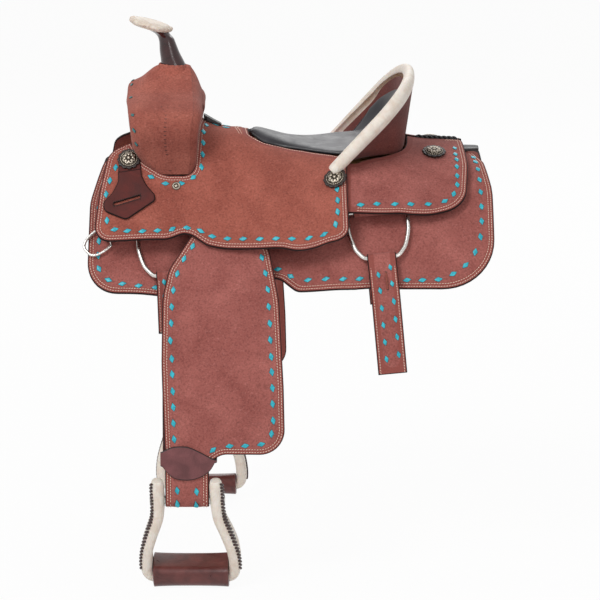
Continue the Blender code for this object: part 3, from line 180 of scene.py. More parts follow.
SEAT_HALF_OUTLINE = [
    (-0.1590, 0.040, 0.015), (-0.1635, 0.1585, 0.034), (-0.213, 0.1625, 0.036), (-0.2525, 0.129, 0.05),
    (-0.273, 0.085, 0.004), (-0.310, 0.098, 0.035), (-0.3235, 0.175, 0.08), (-0.333, 0.267, 0.028),
    (-0.205, 0.279, 0.04), (-0.172, 0.262, 0.03), (-0.140, 0.277, 0.03), (-0.010, 0.280, 0.10),
    (0.045, 0.2970, 0.06), (0.1010, 0.3055, 0.050), (0.0975, 0.215, 0.05), (0.0975, 0.136, 0.006),
    (0.078, 0.1215, 0.02), (0.059, 0.106, 0.03), (0.023, 0.075, 0.04), (-0.015, 0.056, 0.04),
    (-0.047, 0.052, 0.02), (-0.070, 0.034, 0.012),
]
REAR_JOCKEY_OUTLINE = [
    (0.093, 0.246, 0.003), (0.200, 0.240, 0.08), (0.298, 0.212, 0.06), (0.3055, 0.110, 0.10),
    (0.2995, 0.007, 0.010),
]
KEEPER_OUTLINE = [
    (-0.2930, 0.1455, 0.002), (-0.2920, 0.163, 0.02), (-0.3010, 0.183, 0.03), (-0.3165, 0.199, 0.010),
    (-0.3155, 0.215, 0.014), (-0.277, 0.2365, 0.012), (-0.228, 0.208, 0.008), (-0.2290, 0.197, 0.008),
    (-0.2440, 0.177, 0.03), (-0.2525, 0.158, 0.02), (-0.2530, 0.1455, 0.002),
]
KEEPER_SLOT = [
    (-0.299, 0.2025, 0.002), (-0.2535, 0.1945, 0.002), (-0.2535, 0.2000, 0.002), (-0.299, 0.2080, 0.002),
]
FENDER_FRONT_EDGE = [
    (-0.022, 0.034, 0.02), (-0.033, 0.074, 0.03), (-0.0700, 0.135, 0.06), (-0.0795, 0.185, 0.08),
    (-0.0800, 0.300, 0.30), (-0.0745, 0.455, 0.02), (-0.0745, 0.500, 0.02),
]
FENDER_REAR_EDGE = [
    (-0.001, 0.500, 0.02), (-0.001, 0.466, 0.012), (0.020, 0.451, 0.03), (0.127, 0.452, 0.042),
    (0.1245, 0.340, 0.20), (0.1165, 0.190, 0.10), (0.0990, 0.095, 0.06), (0.056, 0.034, 0.03),
]
STIRRUP_LEATHER_OUTLINE = [
    (-0.0290, -0.034, 0.010), (-0.0250, 0.040, 0.02), (-0.0310, 0.085, 0.03), (-0.0670, 0.144, 0.05),
    (-0.0765, 0.195, 0.05), (-0.0785, 0.300, 0.2), (-0.0785, 0.452, 0.004), (0.0005, 0.452, 0.004),
    (0.0005, -0.034, 0.018),
]
CANTLE_FOOT = [
    (0, 0.1890, 0), (0.1, 0.1882, 0.041), (0.25, 0.1825, 0.0765), (0.38, 0.1705, 0.0900),
    (0.5, 0.1560, 0.0945), (0.62, 0.1400, 0.1005), (0.86, 0.1040, 0.1195), (1.0, 0.0950, 0.1260),
]
FORK_STATIONS = [
    ((0.0935, -0.0160), (0.1205, -0.0180), -0.2240, -0.1690),
    ((0.0920, -0.0060), (0.1205, -0.0060), -0.2410, -0.1650),
    ((0.0910, 0.0090), (0.1215, 0.0090), -0.2545, -0.1630),
    ((0.0890, 0.0260), (0.1270, 0.0260), -0.2635, -0.1615),
    ((0.0830, 0.0440), (0.1370, 0.0480), -0.2660, -0.1600),
    ((0.0720, 0.0590), (0.1400, 0.0690), -0.2685, -0.1570),
    ((0.0560, 0.0700), (0.1270, 0.0870), -0.2710, -0.1540),
    ((0.0370, 0.0770), (0.0990, 0.1000), -0.2740, -0.1545),
    ((0.0180, 0.0800), (0.0600, 0.1130), -0.2775, -0.1555),
    ((0.0080, 0.0810), (0.0270, 0.1330), -0.2775, -0.1575),
    ((0.0, 0.0815), (0.0, 0.1500), -0.2775, -0.1590),
]

# Places of the lace diamonds on the near panels, measured in the photograph. The far panels mirror them.
SEAT_MARKS = [
    (-0.1110, 0.0100), (-0.1286, 0.0090), (-0.1444, 0.0282), (-0.1486, 0.0541), (-0.1486, 0.0820),
    (-0.1491, 0.1080), (-0.1507, 0.1342), (-0.1643, 0.1588), (-0.1849, 0.1751), (-0.2116, 0.1765),
    (-0.2363, 0.1616), (-0.2977, 0.1334), (-0.3068, 0.1579), (-0.3124, 0.1832), (-0.3097, 0.2320),
    (-0.2966, 0.2499), (-0.2748, 0.2555), (-0.2492, 0.2599), (-0.2236, 0.2618), (-0.1987, 0.2602),
    (-0.1737, 0.2546), (-0.1504, 0.2545), (-0.1306, 0.2594), (-0.1049, 0.2600), (-0.0786, 0.2605),
    (-0.0503, 0.2620), (-0.0229, 0.2634), (0.0041, 0.2650), (0.0325, 0.2735), (0.0579, 0.2814),
    (0.0772, 0.2726), (0.0808, 0.2515), (0.0809, 0.2303), (0.0800, 0.2087),
]
JOCKEY_MARKS = [
    (0.2851, 0.0540), (0.2851, 0.0778), (0.2864, 0.0955), (0.2859, 0.1166), (0.2854, 0.1415), (0.2848, 0.1629),
    (0.2781, 0.1843), (0.2622, 0.2013), (0.2341, 0.2101), (0.2044, 0.2197), (0.1773, 0.2244), (0.1473, 0.2253),
    (0.1196, 0.2296),
]
SKIRT_MARKS = [
    (0.3178, 0.0523), (0.3203, 0.0704), (0.3231, 0.0950), (0.3246, 0.1245), (0.3252, 0.1541), (0.3254, 0.1854),
    (0.3248, 0.2145), (0.3220, 0.2440), (0.3124, 0.2719), (0.2958, 0.2952), (0.2745, 0.3104), (0.2500, 0.3197),
    (0.2230, 0.3200), (0.1971, 0.3190), (0.1176, 0.3135), (0.0902, 0.3070), (0.0609, 0.2966), (0.0309, 0.2874),
    (0.0018, 0.2719), (-0.0202, 0.2548), (-0.2270, 0.2866), (-0.2559, 0.2827), (-0.2839, 0.2769),
    (-0.3080, 0.2675), (-0.3246, 0.2459), (-0.3266, 0.2218), (-0.3260, 0.1953), (-0.3296, 0.1701),
]
FENDER_MARKS = [
    (-0.0302, 0.0930), (-0.0444, 0.1159), (-0.0555, 0.1427), (-0.0616, 0.1725), (-0.0638, 0.2023),
    (-0.0643, 0.2307), (-0.0654, 0.2603), (-0.0627, 0.2907), (-0.0619, 0.3166), (-0.0610, 0.3446),
    (-0.0601, 0.3708), (-0.0599, 0.3978), (-0.0590, 0.4247), (0.0059, 0.4430), (0.0338, 0.4364),
    (0.0600, 0.4360), (0.0866, 0.4333), (0.1040, 0.4155), (0.1069, 0.3931), (0.1059, 0.3655), (0.1056, 0.3390),
    (0.1046, 0.3126), (0.1035, 0.2874), (0.1020, 0.2593), (0.1011, 0.2314), (0.0991, 0.2021), (0.0975, 0.1711),
    (0.0933, 0.1418), (0.0871, 0.1134),
]


# Materials

def linear(rgb):
    """Scene colour from the screen's 0-255 values."""
    return tuple((c / 255 / 12.92 if c <= 10 else ((c / 255 + 0.055) / 1.055) ** 2.4) for c in rgb) + (1.0,)


class Look:
    """A node material being put together."""

    def __init__(self, name, roughness, metallic=0.0, **sockets):
        self.mat = bpy.data.materials.new(name)
        self.mat.use_nodes = True
        self.nodes = self.mat.node_tree.nodes
        self.links = self.mat.node_tree.links
        self.shader = self.nodes["Principled BSDF"]
        self.shader.inputs["Roughness"].default_value = roughness
        self.shader.inputs["Metallic"].default_value = metallic
        for key, value in sockets.items():
            self.shader.inputs[key.replace("_", " ")].default_value = value
        self.coord = self.nodes.new("ShaderNodeTexCoord").outputs["Object"]

    def noise(self, scale, detail=3.0, distortion=0.0, stretch=None):
        node = self.nodes.new("ShaderNodeTexNoise")
        node.inputs["Scale"].default_value = scale
        node.inputs["Detail"].default_value = detail
        node.inputs["Distortion"].default_value = distortion
        self.links.new(self.stretched(stretch), node.inputs["Vector"])
        return node.outputs["Fac"]

    def cells(self, scale):
        node = self.nodes.new("ShaderNodeTexVoronoi")
        node.inputs["Scale"].default_value = scale
        self.links.new(self.coord, node.inputs["Vector"])
        return node.outputs["Distance"]

    def stretched(self, stretch):
        if stretch is None:
            return self.coord
        mapping = self.nodes.new("ShaderNodeMapping")
        mapping.inputs["Scale"].default_value = stretch
        self.links.new(self.coord, mapping.inputs["Vector"])
        return mapping.outputs["Vector"]

    def height(self):
        """Height over the bars' underside, 0 to 1 over 0.2 m."""
        node = self.nodes.new("ShaderNodeSeparateXYZ")
        self.links.new(self.coord, node.inputs["Vector"])
        return self.compute("MULTIPLY", self.compute("ADD", node.outputs["Z"], 0.02), 5.0)

    def rim(self):
        """The value that each vertex holds, on leather its distance to the edge in metres."""
        node = self.nodes.new("ShaderNodeAttribute")
        node.attribute_name = "rim"
        return node.outputs["Fac"]

    def ramp(self, fac, *stops):
        """Colours at positions; a plain number stands for a grey."""
        node = self.nodes.new("ShaderNodeValToRGB")
        ramp = node.color_ramp
        while len(ramp.elements) < len(stops):
            ramp.elements.new(0.5)
        for element, (place, colour) in zip(ramp.elements, stops):
            element.position = place
            element.color = (colour, colour, colour, 1) if isinstance(colour, (int, float)) else linear(colour)
        self.links.new(fac, node.inputs["Fac"])
        return node.outputs["Color"]

    def feed(self, sockets, values):
        """Set numbers and colours on their sockets, and link the outputs of other nodes."""
        for socket, value in zip(sockets, values):
            if isinstance(value, (int, float, tuple)):
                socket.default_value = value
            else:
                self.links.new(value, socket)

    def compute(self, operation, a, b):
        node = self.nodes.new("ShaderNodeMath")
        node.operation = operation
        self.feed(node.inputs, (a, b))
        return node.outputs[0]

    def mix(self, fac, a, b, blend="MIX"):
        node = self.nodes.new("ShaderNodeMix")
        node.data_type = "RGBA"
        node.blend_type = blend
        self.feed((node.inputs[0], node.inputs[6], node.inputs[7]), (fac, a, b))
        return node.outputs[2]

    def done(self, colour, *bumps, rough=None):
        """Link colour, the bumps (height, strength, distance) one over another, and a roughness map."""
        self.links.new(colour, self.shader.inputs["Base Color"])
        if rough is not None:
            self.links.new(rough, self.shader.inputs["Roughness"])
        last = None
        for height, strength, distance in bumps:
            node = self.nodes.new("ShaderNodeBump")
            node.inputs["Strength"].default_value = strength
            node.inputs["Distance"].default_value = distance
            self.links.new(height, node.inputs["Height"])
            if last:
                self.links.new(last, node.inputs["Normal"])
            last = node.outputs["Normal"]
        if last:
            self.links.new(last, self.shader.inputs["Normal"])
        return self.mat


def suede(name, dark, light, rim=True, band=(160, 88, 80), raw=(34, 13, 12), shade=None):
    """Roughout leather: cloudy nap, short fibres, and near its edge a burnished band and a dark raw edge;
    shade, if given, is painted shade that darkens it towards the bottom.
    """
    look = Look(name, 0.92, Sheen_Weight=0.12, Sheen_Roughness=0.5, Specular_IOR_Level=0.25)
    cloud = look.noise(17, 5, 0.6)
    nap = look.noise(330, 5, 0.3)
    fibre = look.noise(900, 3)
    fleck = look.noise(240, 3, 0.5, (1.0, 1.0, 1.7))
    base = look.ramp(cloud, (0.34, dark), (0.66, light))
    base = look.mix(1.0, base, look.ramp(nap, (0.32, 0.66), (0.52, 0.93), (0.70, 1.0)), "MULTIPLY")
    base = look.mix(0.4, base, look.ramp(fibre, (0.35, 0.78), (0.62, 1.0)), "MULTIPLY")
    pale = linear(tuple(min(255, c + 46) for c in light))
    base = look.mix(look.ramp(fleck, (0.56, 0.0), (0.76, 0.26)), base, pale)
    # Painted shade: the colour darkens with height towards the bottom, where shade falls.
    if shade:
        base = look.mix(1.0, base, look.ramp(look.height(), *shade), "MULTIPLY")
    if rim:
        run = look.compute("MULTIPLY", look.rim(), 50.0)
        mask = look.ramp(run, (0.0, 1.0), (0.50, 1.0), (0.57, 0.0))
        tint = look.mix(0.35, linear(band), look.ramp(nap, (0.3, 0.6), (0.6, 1.0)), "MULTIPLY")
        base = look.mix(mask, base, tint)
        edge = look.ramp(run, (0.0, 1.0), (0.060, 1.0), (0.105, 0.0))
        base = look.mix(edge, base, linear(raw))
    return look.done(base, (nap, 0.30, 0.0010), (fibre, 0.45, 0.0005))


def smooth_leather(name, dark, light, roughness, rim=False, raw=(26, 10, 10), coat=0.0, grain=420,
                   shine=0.45):
    """Finished leather with fine pebble grain and rubbed patches."""
    look = Look(name, roughness, Coat_Weight=coat, Coat_Roughness=0.25, Specular_IOR_Level=shine)
    cloud = look.noise(38, 5, 0.8)
    pebble = look.cells(grain)
    fine = look.noise(700, 4)
    base = look.ramp(cloud, (0.32, dark), (0.68, light))
    base = look.mix(0.5, base, look.ramp(pebble, (0.0, 0.62), (0.35, 1.0)), "MULTIPLY")
    base = look.mix(0.4, base, look.ramp(fine, (0.35, 0.70), (0.65, 1.0)), "MULTIPLY")
    if rim:
        run = look.compute("MULTIPLY", look.rim(), 50.0)
        edge = look.ramp(run, (0.0, 1.0), (0.05, 1.0), (0.10, 0.0))
        base = look.mix(edge, base, linear(raw))
    spread = look.ramp(cloud, (0.3, roughness - 0.06), (0.7, roughness + 0.10))
    return look.done(base, (pebble, 0.18, 0.0006), (fine, 0.12, 0.0004), rough=spread)


def rawhide(name, dark, light, roughness=0.5):
    """Cream leather with faint pores and slightly darker smudges."""
    look = Look(name, roughness, Specular_IOR_Level=0.35, Subsurface_Weight=0.06)
    look.shader.inputs["Subsurface Radius"].default_value = (0.004, 0.002, 0.001)
    cloud = look.noise(55, 6, 1.0)
    pores = look.noise(620, 4)
    streak = look.noise(130, 3, 0.5, (1.0, 0.35, 1.0))
    base = look.ramp(cloud, (0.30, dark), (0.58, light))
    base = look.mix(0.30, base, look.ramp(streak, (0.32, 0.86), (0.60, 1.0)), "MULTIPLY")
    base = look.mix(0.22, base, look.ramp(pores, (0.34, 0.80), (0.52, 1.0)), "MULTIPLY")
    return look.done(base, (pores, 0.2, 0.0004), (cloud, 0.1, 0.001))


def metal(name, dark, light, roughness, cavity=False):
    """Plated steel or silver with fine scratches; cavity darkens the low parts of a relief."""
    look = Look(name, roughness, metallic=1.0)
    cloud = look.noise(120, 4)
    scratch = look.noise(900, 3, 0.2, (1.0, 0.15, 1.0))
    base = look.ramp(cloud, (0.3, dark), (0.7, light))
    if cavity:
        deep = look.ramp(look.rim(), (0.0, (26, 22, 19)), (0.35, (92, 84, 76)), (0.75, (226, 220, 210)))
        base = look.mix(1.0, base, deep, "MULTIPLY")
    spread = look.ramp(scratch, (0.3, roughness), (0.7, min(1.0, roughness + 0.14)))
    return look.done(base, (scratch, 0.08, 0.0002), rough=spread)


def thread(name, colour, shade):
    """Twisted waxed thread or thin dark lace."""
    look = Look(name, 0.6, Sheen_Weight=0.2)
    twist = look.noise(1500, 2)
    base = look.ramp(look.noise(300, 2), (0.3, shade), (0.7, colour))
    return look.done(base, (twist, 0.3, 0.0003))


def lace(name, dark, light, raw=(16, 40, 44)):
    """Coloured buck-stitch lace: bright on its face, its rim painted dark as painted shadow of the slits it
    dives into.
    """
    look = Look(name, 0.38, Specular_IOR_Level=0.5)
    cloud = look.noise(160, 4, 0.8)
    fine = look.noise(900, 2)
    base = look.ramp(cloud, (0.30, dark), (0.66, light))
    # Painted shadow: low rim values, where the lace meets its slits, darken to the raw colour.
    edge = look.ramp(look.rim(), (0.0, 1.0), (0.45, 0.85), (0.75, 0.0))
    return look.done(look.mix(edge, base, linear(raw)), (fine, 0.25, 0.0003), (cloud, 0.2, 0.0008))


def wood(name):
    """Planed softwood with its grain along X."""
    look = Look(name, 0.6)
    grain = look.noise(60, 6, 1.2, (0.25, 4.0, 4.0))
    base = look.ramp(grain, (0.35, (140, 98, 58)), (0.60, (198, 152, 100)), (0.72, (170, 124, 78)))
    return look.done(base, (grain, 0.2, 0.0008))


def woolly(name):
    """Curled fleece."""
    look = Look(name, 1.0, Sheen_Weight=0.4, Sheen_Roughness=0.6, Specular_IOR_Level=0.1)
    curl = look.noise(170, 6, 2.0)
    base = look.ramp(curl, (0.30, (176, 158, 128)), (0.52, (226, 214, 190)), (0.70, (244, 236, 220)))
    return look.done(base, (curl, 0.9, 0.003))


ROUGHOUT = suede("roughout", (168, 91, 77), (190, 108, 92))
ROUGHOUT_SKIRT = suede("roughout_skirt", (166, 94, 87), (189, 113, 105))
ROUGHOUT_PLAIN = suede("roughout_plain", (158, 86, 73), (182, 106, 91), rim=False)
# The fork's roughout carries painted shade: darker towards its foot, lightest at the top.
ROUGHOUT_FORK = suede("roughout_fork", (172, 93, 80), (196, 114, 98), rim=False,
                      shade=((0.05, 0.66), (0.40, 0.84), (0.72, 1.0)))
# A darker copy of the roughout: on the cantle's back its darkness is painted shade; the cantle's liner and the
# fork under its cover take it too.
ROUGHOUT_DARK = suede("roughout_dark", (104, 50, 45), (124, 64, 57), rim=False)
DARK_LEATHER = smooth_leather("dark_leather", (82, 36, 33), (106, 49, 45), 0.60, rim=True, shine=0.22)
HOBBLE_LEATHER = smooth_leather("hobble_leather", (104, 58, 60), (134, 80, 82), 0.42, rim=True)
TREAD_LEATHER = smooth_leather("tread_leather", (84, 36, 33), (118, 60, 56), 0.33, coat=0.2, grain=300)
HORN_LEATHER = smooth_leather("horn_leather", (46, 20, 21), (72, 36, 37), 0.2, coat=0.3, grain=260)
STRAP_LEATHER = smooth_leather("strap_leather", (62, 30, 26), (92, 46, 40), 0.55)
SEAT_COVER = smooth_leather("seat_cover", (34, 33, 38), (48, 46, 53), 0.42, grain=520)
BLACK_LEATHER = smooth_leather("black_leather", (14, 13, 17), (27, 26, 32), 0.46, rim=True)
ROSETTE_LEATHER = smooth_leather("rosette_leather", (32, 24, 22), (58, 44, 40), 0.42, rim=True,
                                 raw=(14, 10, 10))
RAWHIDE = rawhide("rawhide", (242, 227, 212), (253, 244, 233))
CAP_RAWHIDE = rawhide("cap_rawhide", (222, 201, 183), (246, 235, 222), 0.55)
STEEL = metal("nickel_steel", (196, 192, 188), (226, 222, 216), 0.20)
SILVER = metal("antique_silver", (176, 170, 162), (206, 200, 192), 0.30, cavity=True)
THREAD = thread("stitch_thread", (252, 224, 206), (238, 196, 178))
LACE_DARK = thread("whip_lace", (66, 34, 30), (44, 22, 20))
TURQUOISE = lace("turquoise_lace", (22, 158, 180), (64, 206, 224))
TEAL = lace("teal_lace", (24, 92, 96), (56, 128, 130))
TREE = wood("tree_wood")
WOOL = woolly("fleece")


# Meshes and pieces

class Soup:
    """Vertices, faces and an edge-distance value per vertex, gathered into one mesh."""

    def __init__(self):
        self.verts, self.faces, self.rim = [], [], []

    def add(self, verts, faces, rim=1.0):
        start = len(self.verts)
        self.verts += [tuple(v) for v in verts]
        self.faces += [[start + k for k in face] for face in faces]
        self.rim += list(rim) if isinstance(rim, (list, np.ndarray)) else [rim] * len(verts)
        return self


def piece(name, soup, mat, node, replaces=(), smooth=42.0):
    """Make the object, put it on the body of a CAD node, and let it stand for the nodes it replaces."""
    mesh = bpy.data.meshes.new(name)
    mesh.from_pydata(soup.verts, [], soup.faces)
    values = mesh.attributes.new("rim", "FLOAT", "POINT")
    values.data.foreach_set("value", soup.rim)
    bm = bmesh.new()
    bm.from_mesh(mesh)
    bmesh.ops.delete(bm, geom=[v for v in bm.verts if not v.link_faces], context="VERTS")
    bmesh.ops.recalc_face_normals(bm, faces=bm.faces)
    bm.to_mesh(mesh)
    bm.free()
    mesh.shade_smooth()
    mesh.set_sharp_from_angle(angle=math.radians(smooth))
    obj = bpy.data.objects.new(name, mesh)
    bpy.context.scene.collection.objects.link(obj)
    mesh.materials.append(mat)
    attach(obj, BODY_OF[node])
    if replaces:
        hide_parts(*replaces)
    return obj


def loft(rings, closed_path=False, rim=None):
    """Verts, faces and rim values through rings of equal length, capped unless the path closes."""
    count = len(rings[0])
    verts = [p for ring in rings for p in ring]
    faces = []
    last = len(rings) if closed_path else len(rings) - 1
    for i in range(last):
        a, b = i * count, (i + 1) % len(rings) * count
        faces += [[a + k, a + (k + 1) % count, b + (k + 1) % count, b + k] for k in range(count)]
    if not closed_path:
        faces.append(list(reversed(range(count))))
        faces.append([(len(rings) - 1) * count + k for k in range(count)])
    values = [1.0] * len(verts) if rim is None else [v for row in rim for v in row]
    return verts, faces, values


def shell(outer, inner, rim=None):
    """Closed sheet between two grids of points that share their layout."""
    rows, cols = len(outer), len(outer[0])
    verts = [p for row in outer for p in row] + [p for row in inner for p in row]
    low = rows * cols
    faces = []
    for i in range(rows - 1):
        for j in range(cols - 1):
            a, b = i * cols + j, (i + 1) * cols + j
            faces.append([a, a + 1, b + 1, b])
            faces.append([low + a, low + b, low + b + 1, low + a + 1])
    edge = [(i, 0) for i in range(rows)] + [(rows - 1, j) for j in range(1, cols)]
    edge += [(i, cols - 1) for i in range(rows - 2, -1, -1)] + [(0, j) for j in range(cols - 2, 0, -1)]
    for (i, j), (k, m) in zip(edge, edge[1:] + edge[:1]):
        faces.append([i * cols + j, k * cols + m, low + k * cols + m, low + i * cols + j])
    values = [1.0] * len(verts) if rim is None else [v for row in rim for v in row] * 2
    return verts, faces, values


def grid_normals(grid):
    """Unit normals of a grid of points, as an array."""
    pts = np.array([[tuple(p) for p in row] for row in grid])
    normal = np.cross(np.gradient(pts, axis=0), np.gradient(pts, axis=1))
    return normal / np.maximum(np.linalg.norm(normal, axis=2, keepdims=True), 1e-12)


def round_section(width, thick, radius, steps):
    """Rectangle with round corners, about its centre."""
    points = []
    for sx, sy, start in ((1, 1, 0), (-1, 1, 90), (-1, -1, 180), (1, -1, 270)):
        for k in range(steps + 1):
            a = math.radians(start + 90 * k / steps)
            points.append((sx * (width / 2 - radius) + radius * math.cos(a),
                           sy * (thick / 2 - radius) + radius * math.sin(a)))
    return points


def spline(rows, count, closed=False):
    """Catmull-Rom curve through rows of numbers, count pieces long."""
    pts = np.array([tuple(r) for r in rows], float)
    n = len(pts)
    spans = n if closed else n - 1
    result = []
    for k in range(count if closed else count + 1):
        t = k / count * spans
        i = min(int(t), spans - 1)
        f = t - i
        if closed:
            p0, p1, p2, p3 = (pts[(i + q) % n] for q in (-1, 0, 1, 2))
        else:
            p0, p1, p2, p3 = (pts[min(max(i + q, 0), n - 1)] for q in (-1, 0, 1, 2))
        result.append(0.5 * ((2 * p1) + (p2 - p0) * f + (2 * p0 - 5 * p1 + 4 * p2 - p3) * f * f
                             + (3 * p1 - p0 - 3 * p2 + p3) * f ** 3))
    return result


def curve(points, count, closed=False):
    return [Vector(p) for p in spline(points, count, closed)]


def even(points, pitch, closed=False):
    """Evenly spaced (point, tangent) along a polyline, in two or three dimensions."""
    pts = [Vector(p) for p in points] + ([Vector(points[0])] if closed else [])
    run = [0.0]
    for a, b in zip(pts, pts[1:]):
        run.append(run[-1] + (b - a).length)
    count = max(1, round(run[-1] / pitch))
    result = []
    for k in range(count if closed else count + 1):
        t = k / count * run[-1]
        i = min(max(int(np.searchsorted(run, t)) - 1, 0), len(pts) - 2)
        d = pts[i + 1] - pts[i]
        result.append((pts[i] + d * ((t - run[i]) / max(d.length, 1e-9)), d.normalized()))
    return result


def directions(pts):
    """Direction of an open line at each of its points."""
    last = len(pts) - 1
    return [(pts[min(k + 1, last)] - pts[max(k - 1, 0)]).normalized() for k in range(last + 1)]


def upper_normal(t):
    """The normal of a flat direction that points towards the second axis."""
    normal = Vector((-t.y, t.x))
    return -normal if normal.y < 0 else normal


def tube(path, radius, sides, closed=False, squash=1.0):
    """Round bar along a path, its open ends rounded; radius may be a list."""
    pts = [Vector(p) for p in path]
    n = len(pts)
    radii = list(radius) if isinstance(radius, (list, tuple)) else [radius] * n
    if closed:
        tangents = [(pts[(k + 1) % n] - pts[k - 1]).normalized() for k in range(n)]
    else:
        tangents = directions(pts)
        r, t = radii[0], tangents[0]
        pts = [pts[0] - t * r * 0.8, pts[0] - t * r * 0.45] + pts
        r, t = radii[-1], tangents[-1]
        pts = pts + [pts[-1] + t * r * 0.45, pts[-1] + t * r * 0.8]
        radii = [radii[0] * 0.35, radii[0] * 0.82] + radii + [radii[-1] * 0.82, radii[-1] * 0.35]
        tangents = [tangents[0]] * 2 + tangents + [tangents[-1]] * 2
    side = tangents[0].orthogonal().normalized()
    rings = []
    for p, t, r in zip(pts, tangents, radii):
        side = (side - t * side.dot(t)).normalized()
        up = t.cross(side)
        rings.append([p + (side * math.cos(2 * math.pi * k / sides) * squash
                           + up * math.sin(2 * math.pi * k / sides)) * r for k in range(sides)])
    if not closed:
        return loft(rings)
    # The last ring has turned against the first one, so their join starts as many sides further on
    shift = min(range(sides), key=lambda q: (rings[-1][q] - rings[0][0]).length)
    faces = []
    for i in range(n):
        a, b = i * sides, (i + 1) % n * sides
        turn = shift if i == n - 1 else 0
        for k in range(sides):
            m = (k + 1) % sides
            faces.append([a + (k + turn) % sides, a + (m + turn) % sides, b + m, b + k])
    return [p for ring in rings for p in ring], faces, [1.0] * (n * sides)


# Draped surfaces and flat outlines, as in the CAD source

class Drape:
    """A surface over the horse's back, given by Bezier cross sections at stations along X."""

    def __init__(self, stations):
        self.stations = [(x, np.array(p, float)) for x, p in stations]
        self.cache = {}

    def control(self, x):
        first, last = self.stations[0], self.stations[-1]
        if x <= first[0]:
            return first[1]
        if x >= last[0]:
            return last[1]
        for (x0, a), (x1, b) in zip(self.stations, self.stations[1:]):
            if x <= x1:
                t = (x - x0) / (x1 - x0)
                t = t * t * (3 - 2 * t)
                return a * (1 - t) + b * t

    def table(self, x):
        key = round(x, 5)
        if key not in self.cache:
            b = self.control(x)
            t = np.linspace(0, 1, 121)[:, None]
            p = ((1 - t) ** 3 * b[0] + 3 * t * (1 - t) ** 2 * b[1] + 3 * t * t * (1 - t) * b[2]
                 + t ** 3 * b[3])
            tail = (b[3] - b[2]) / np.linalg.norm(b[3] - b[2])
            p = np.vstack([p, b[3] + tail * np.linspace(0.01, 0.3, 30)[:, None]])
            run = np.concatenate([[0], np.cumsum(np.linalg.norm(np.diff(p, axis=0), axis=1))])
            self.cache[key] = (run, p)
        return self.cache[key]

    def point(self, x, s, lift=0.0, side=-1):
        """World point at x, at distance s down from the ridge, lifted along the normal."""
        if s < 0:
            s, side = -s, -side
        run, p = self.table(x)
        here = [np.interp(s, run, p[:, k]) for k in (0, 1)]
        low = [np.interp(max(s - 0.002, 0), run, p[:, k]) for k in (0, 1)]
        high = [np.interp(max(s - 0.002, 0) + 0.004, run, p[:, k]) for k in (0, 1)]
        slope = math.atan2(low[1] - high[1], high[0] - low[0])
        sideways = here[0] + lift * math.sin(slope) * min(1.0, s / 0.004)
        return Vector((x, side * sideways, here[1] + lift * math.cos(slope)))

    def normal(self, x, s, side=-1):
        a = self.point(x + 0.003, s, 0, side) - self.point(x - 0.003, s, 0, side)
        b = self.point(x, s + 0.003, 0, side) - self.point(x, s - 0.003, 0, side)
        n = a.cross(b).normalized()
        return n if n.z > 0 else -n


SKIRT = Drape(SKIRT_STATIONS)
SEAT = Drape(SEAT_STATIONS)
REAR = Drape(REAR_STATIONS)


def on(drape, side):
    return lambda x, s, lift: drape.point(x, s, lift, side)


def rounded_outline(corners, step=0.006, arc=8.0):
    """Closed outline through corners (u, v, radius), with long edges split into steps."""
    n = len(corners)
    points = []
    for i, (u, v, radius) in enumerate(corners):
        here = Vector((u, v))
        before = Vector(corners[i - 1][:2]) - here
        after = Vector(corners[(i + 1) % n][:2]) - here
        angle = before.angle(after)
        reach = min(radius / math.tan(angle / 2), 0.48 * before.length, 0.48 * after.length)
        radius = reach * math.tan(angle / 2)
        if radius < 1e-5 or reach < 1e-5:
            points.append(here)
            continue
        start = here + before.normalized() * reach
        end = here + after.normalized() * reach
        turns = max(1, round(math.degrees(math.pi - angle) / arc))
        middle = (before.normalized() + after.normalized()).normalized()
        centre = here + middle * (radius / math.sin(angle / 2))
        a0 = math.atan2(start.y - centre.y, start.x - centre.x)
        a1 = math.atan2(end.y - centre.y, end.x - centre.x)
        sweep = (a1 - a0 + math.pi) % (2 * math.pi) - math.pi
        for k in range(turns + 1):
            a = a0 + sweep * k / turns
            points.append(centre + radius * Vector((math.cos(a), math.sin(a))))
    result = []
    for p, q in zip(points, points[1:] + points[:1]):
        pieces = max(1, math.ceil((q - p).length / step))
        if (q - p).length > 1e-6:
            result += [p.lerp(q, k / pieces) for k in range(pieces)]
    return result


def inset(loop, amount):
    """The outline moved inwards, without the points that would cross over."""
    sign = 1 if sum(p.x * q.y - q.x * p.y for p, q in zip(loop, loop[1:] + loop[:1])) > 0 else -1
    moved = []
    for i, p in enumerate(loop):
        a = (p - loop[i - 1]).normalized()
        b = (loop[(i + 1) % len(loop)] - p).normalized()
        normal = sign * Vector((-(a.y + b.y), a.x + b.x)).normalized()
        grow = max(0.5, normal.dot(sign * Vector((-a.y, a.x))))
        moved.append(p + normal * (amount / grow))
    far = distances(moved, [loop])
    return [p for p, d in zip(moved, far) if d > amount * 0.965]


def inside(points, loop):
    """Which points lie in the outline."""
    pts = np.array([tuple(p) for p in points]).reshape(-1, 2)
    ring = np.array([tuple(p) for p in loop])
    a, b = ring, np.roll(ring, -1, axis=0)
    hit = np.zeros(len(pts), bool)
    for (ax, ay), (bx, by) in zip(a, b):
        if ay == by:
            continue
        cross = (ay > pts[:, 1]) != (by > pts[:, 1])
        hit ^= cross & (pts[:, 0] < (bx - ax) * (pts[:, 1] - ay) / (by - ay) + ax)
    return hit


def distances(points, loops):
    """Distance of each point to the nearest outline."""
    pts = np.array([tuple(p) for p in points]).reshape(-1, 2)
    best = np.full(len(pts), 1.0)
    for loop in loops:
        ring = np.array([tuple(p) for p in loop])
        for a, b in zip(ring, np.roll(ring, -1, axis=0)):
            ab = b - a
            t = np.clip(((pts - a) @ ab) / max(ab @ ab, 1e-12), 0, 1)
            best = np.minimum(best, np.hypot(*(pts - a - t[:, None] * ab).T))
    return best


RINGS = (0.0007, 0.0016, 0.0028, ROW_1, 0.0065, ROW_2, 0.0112)


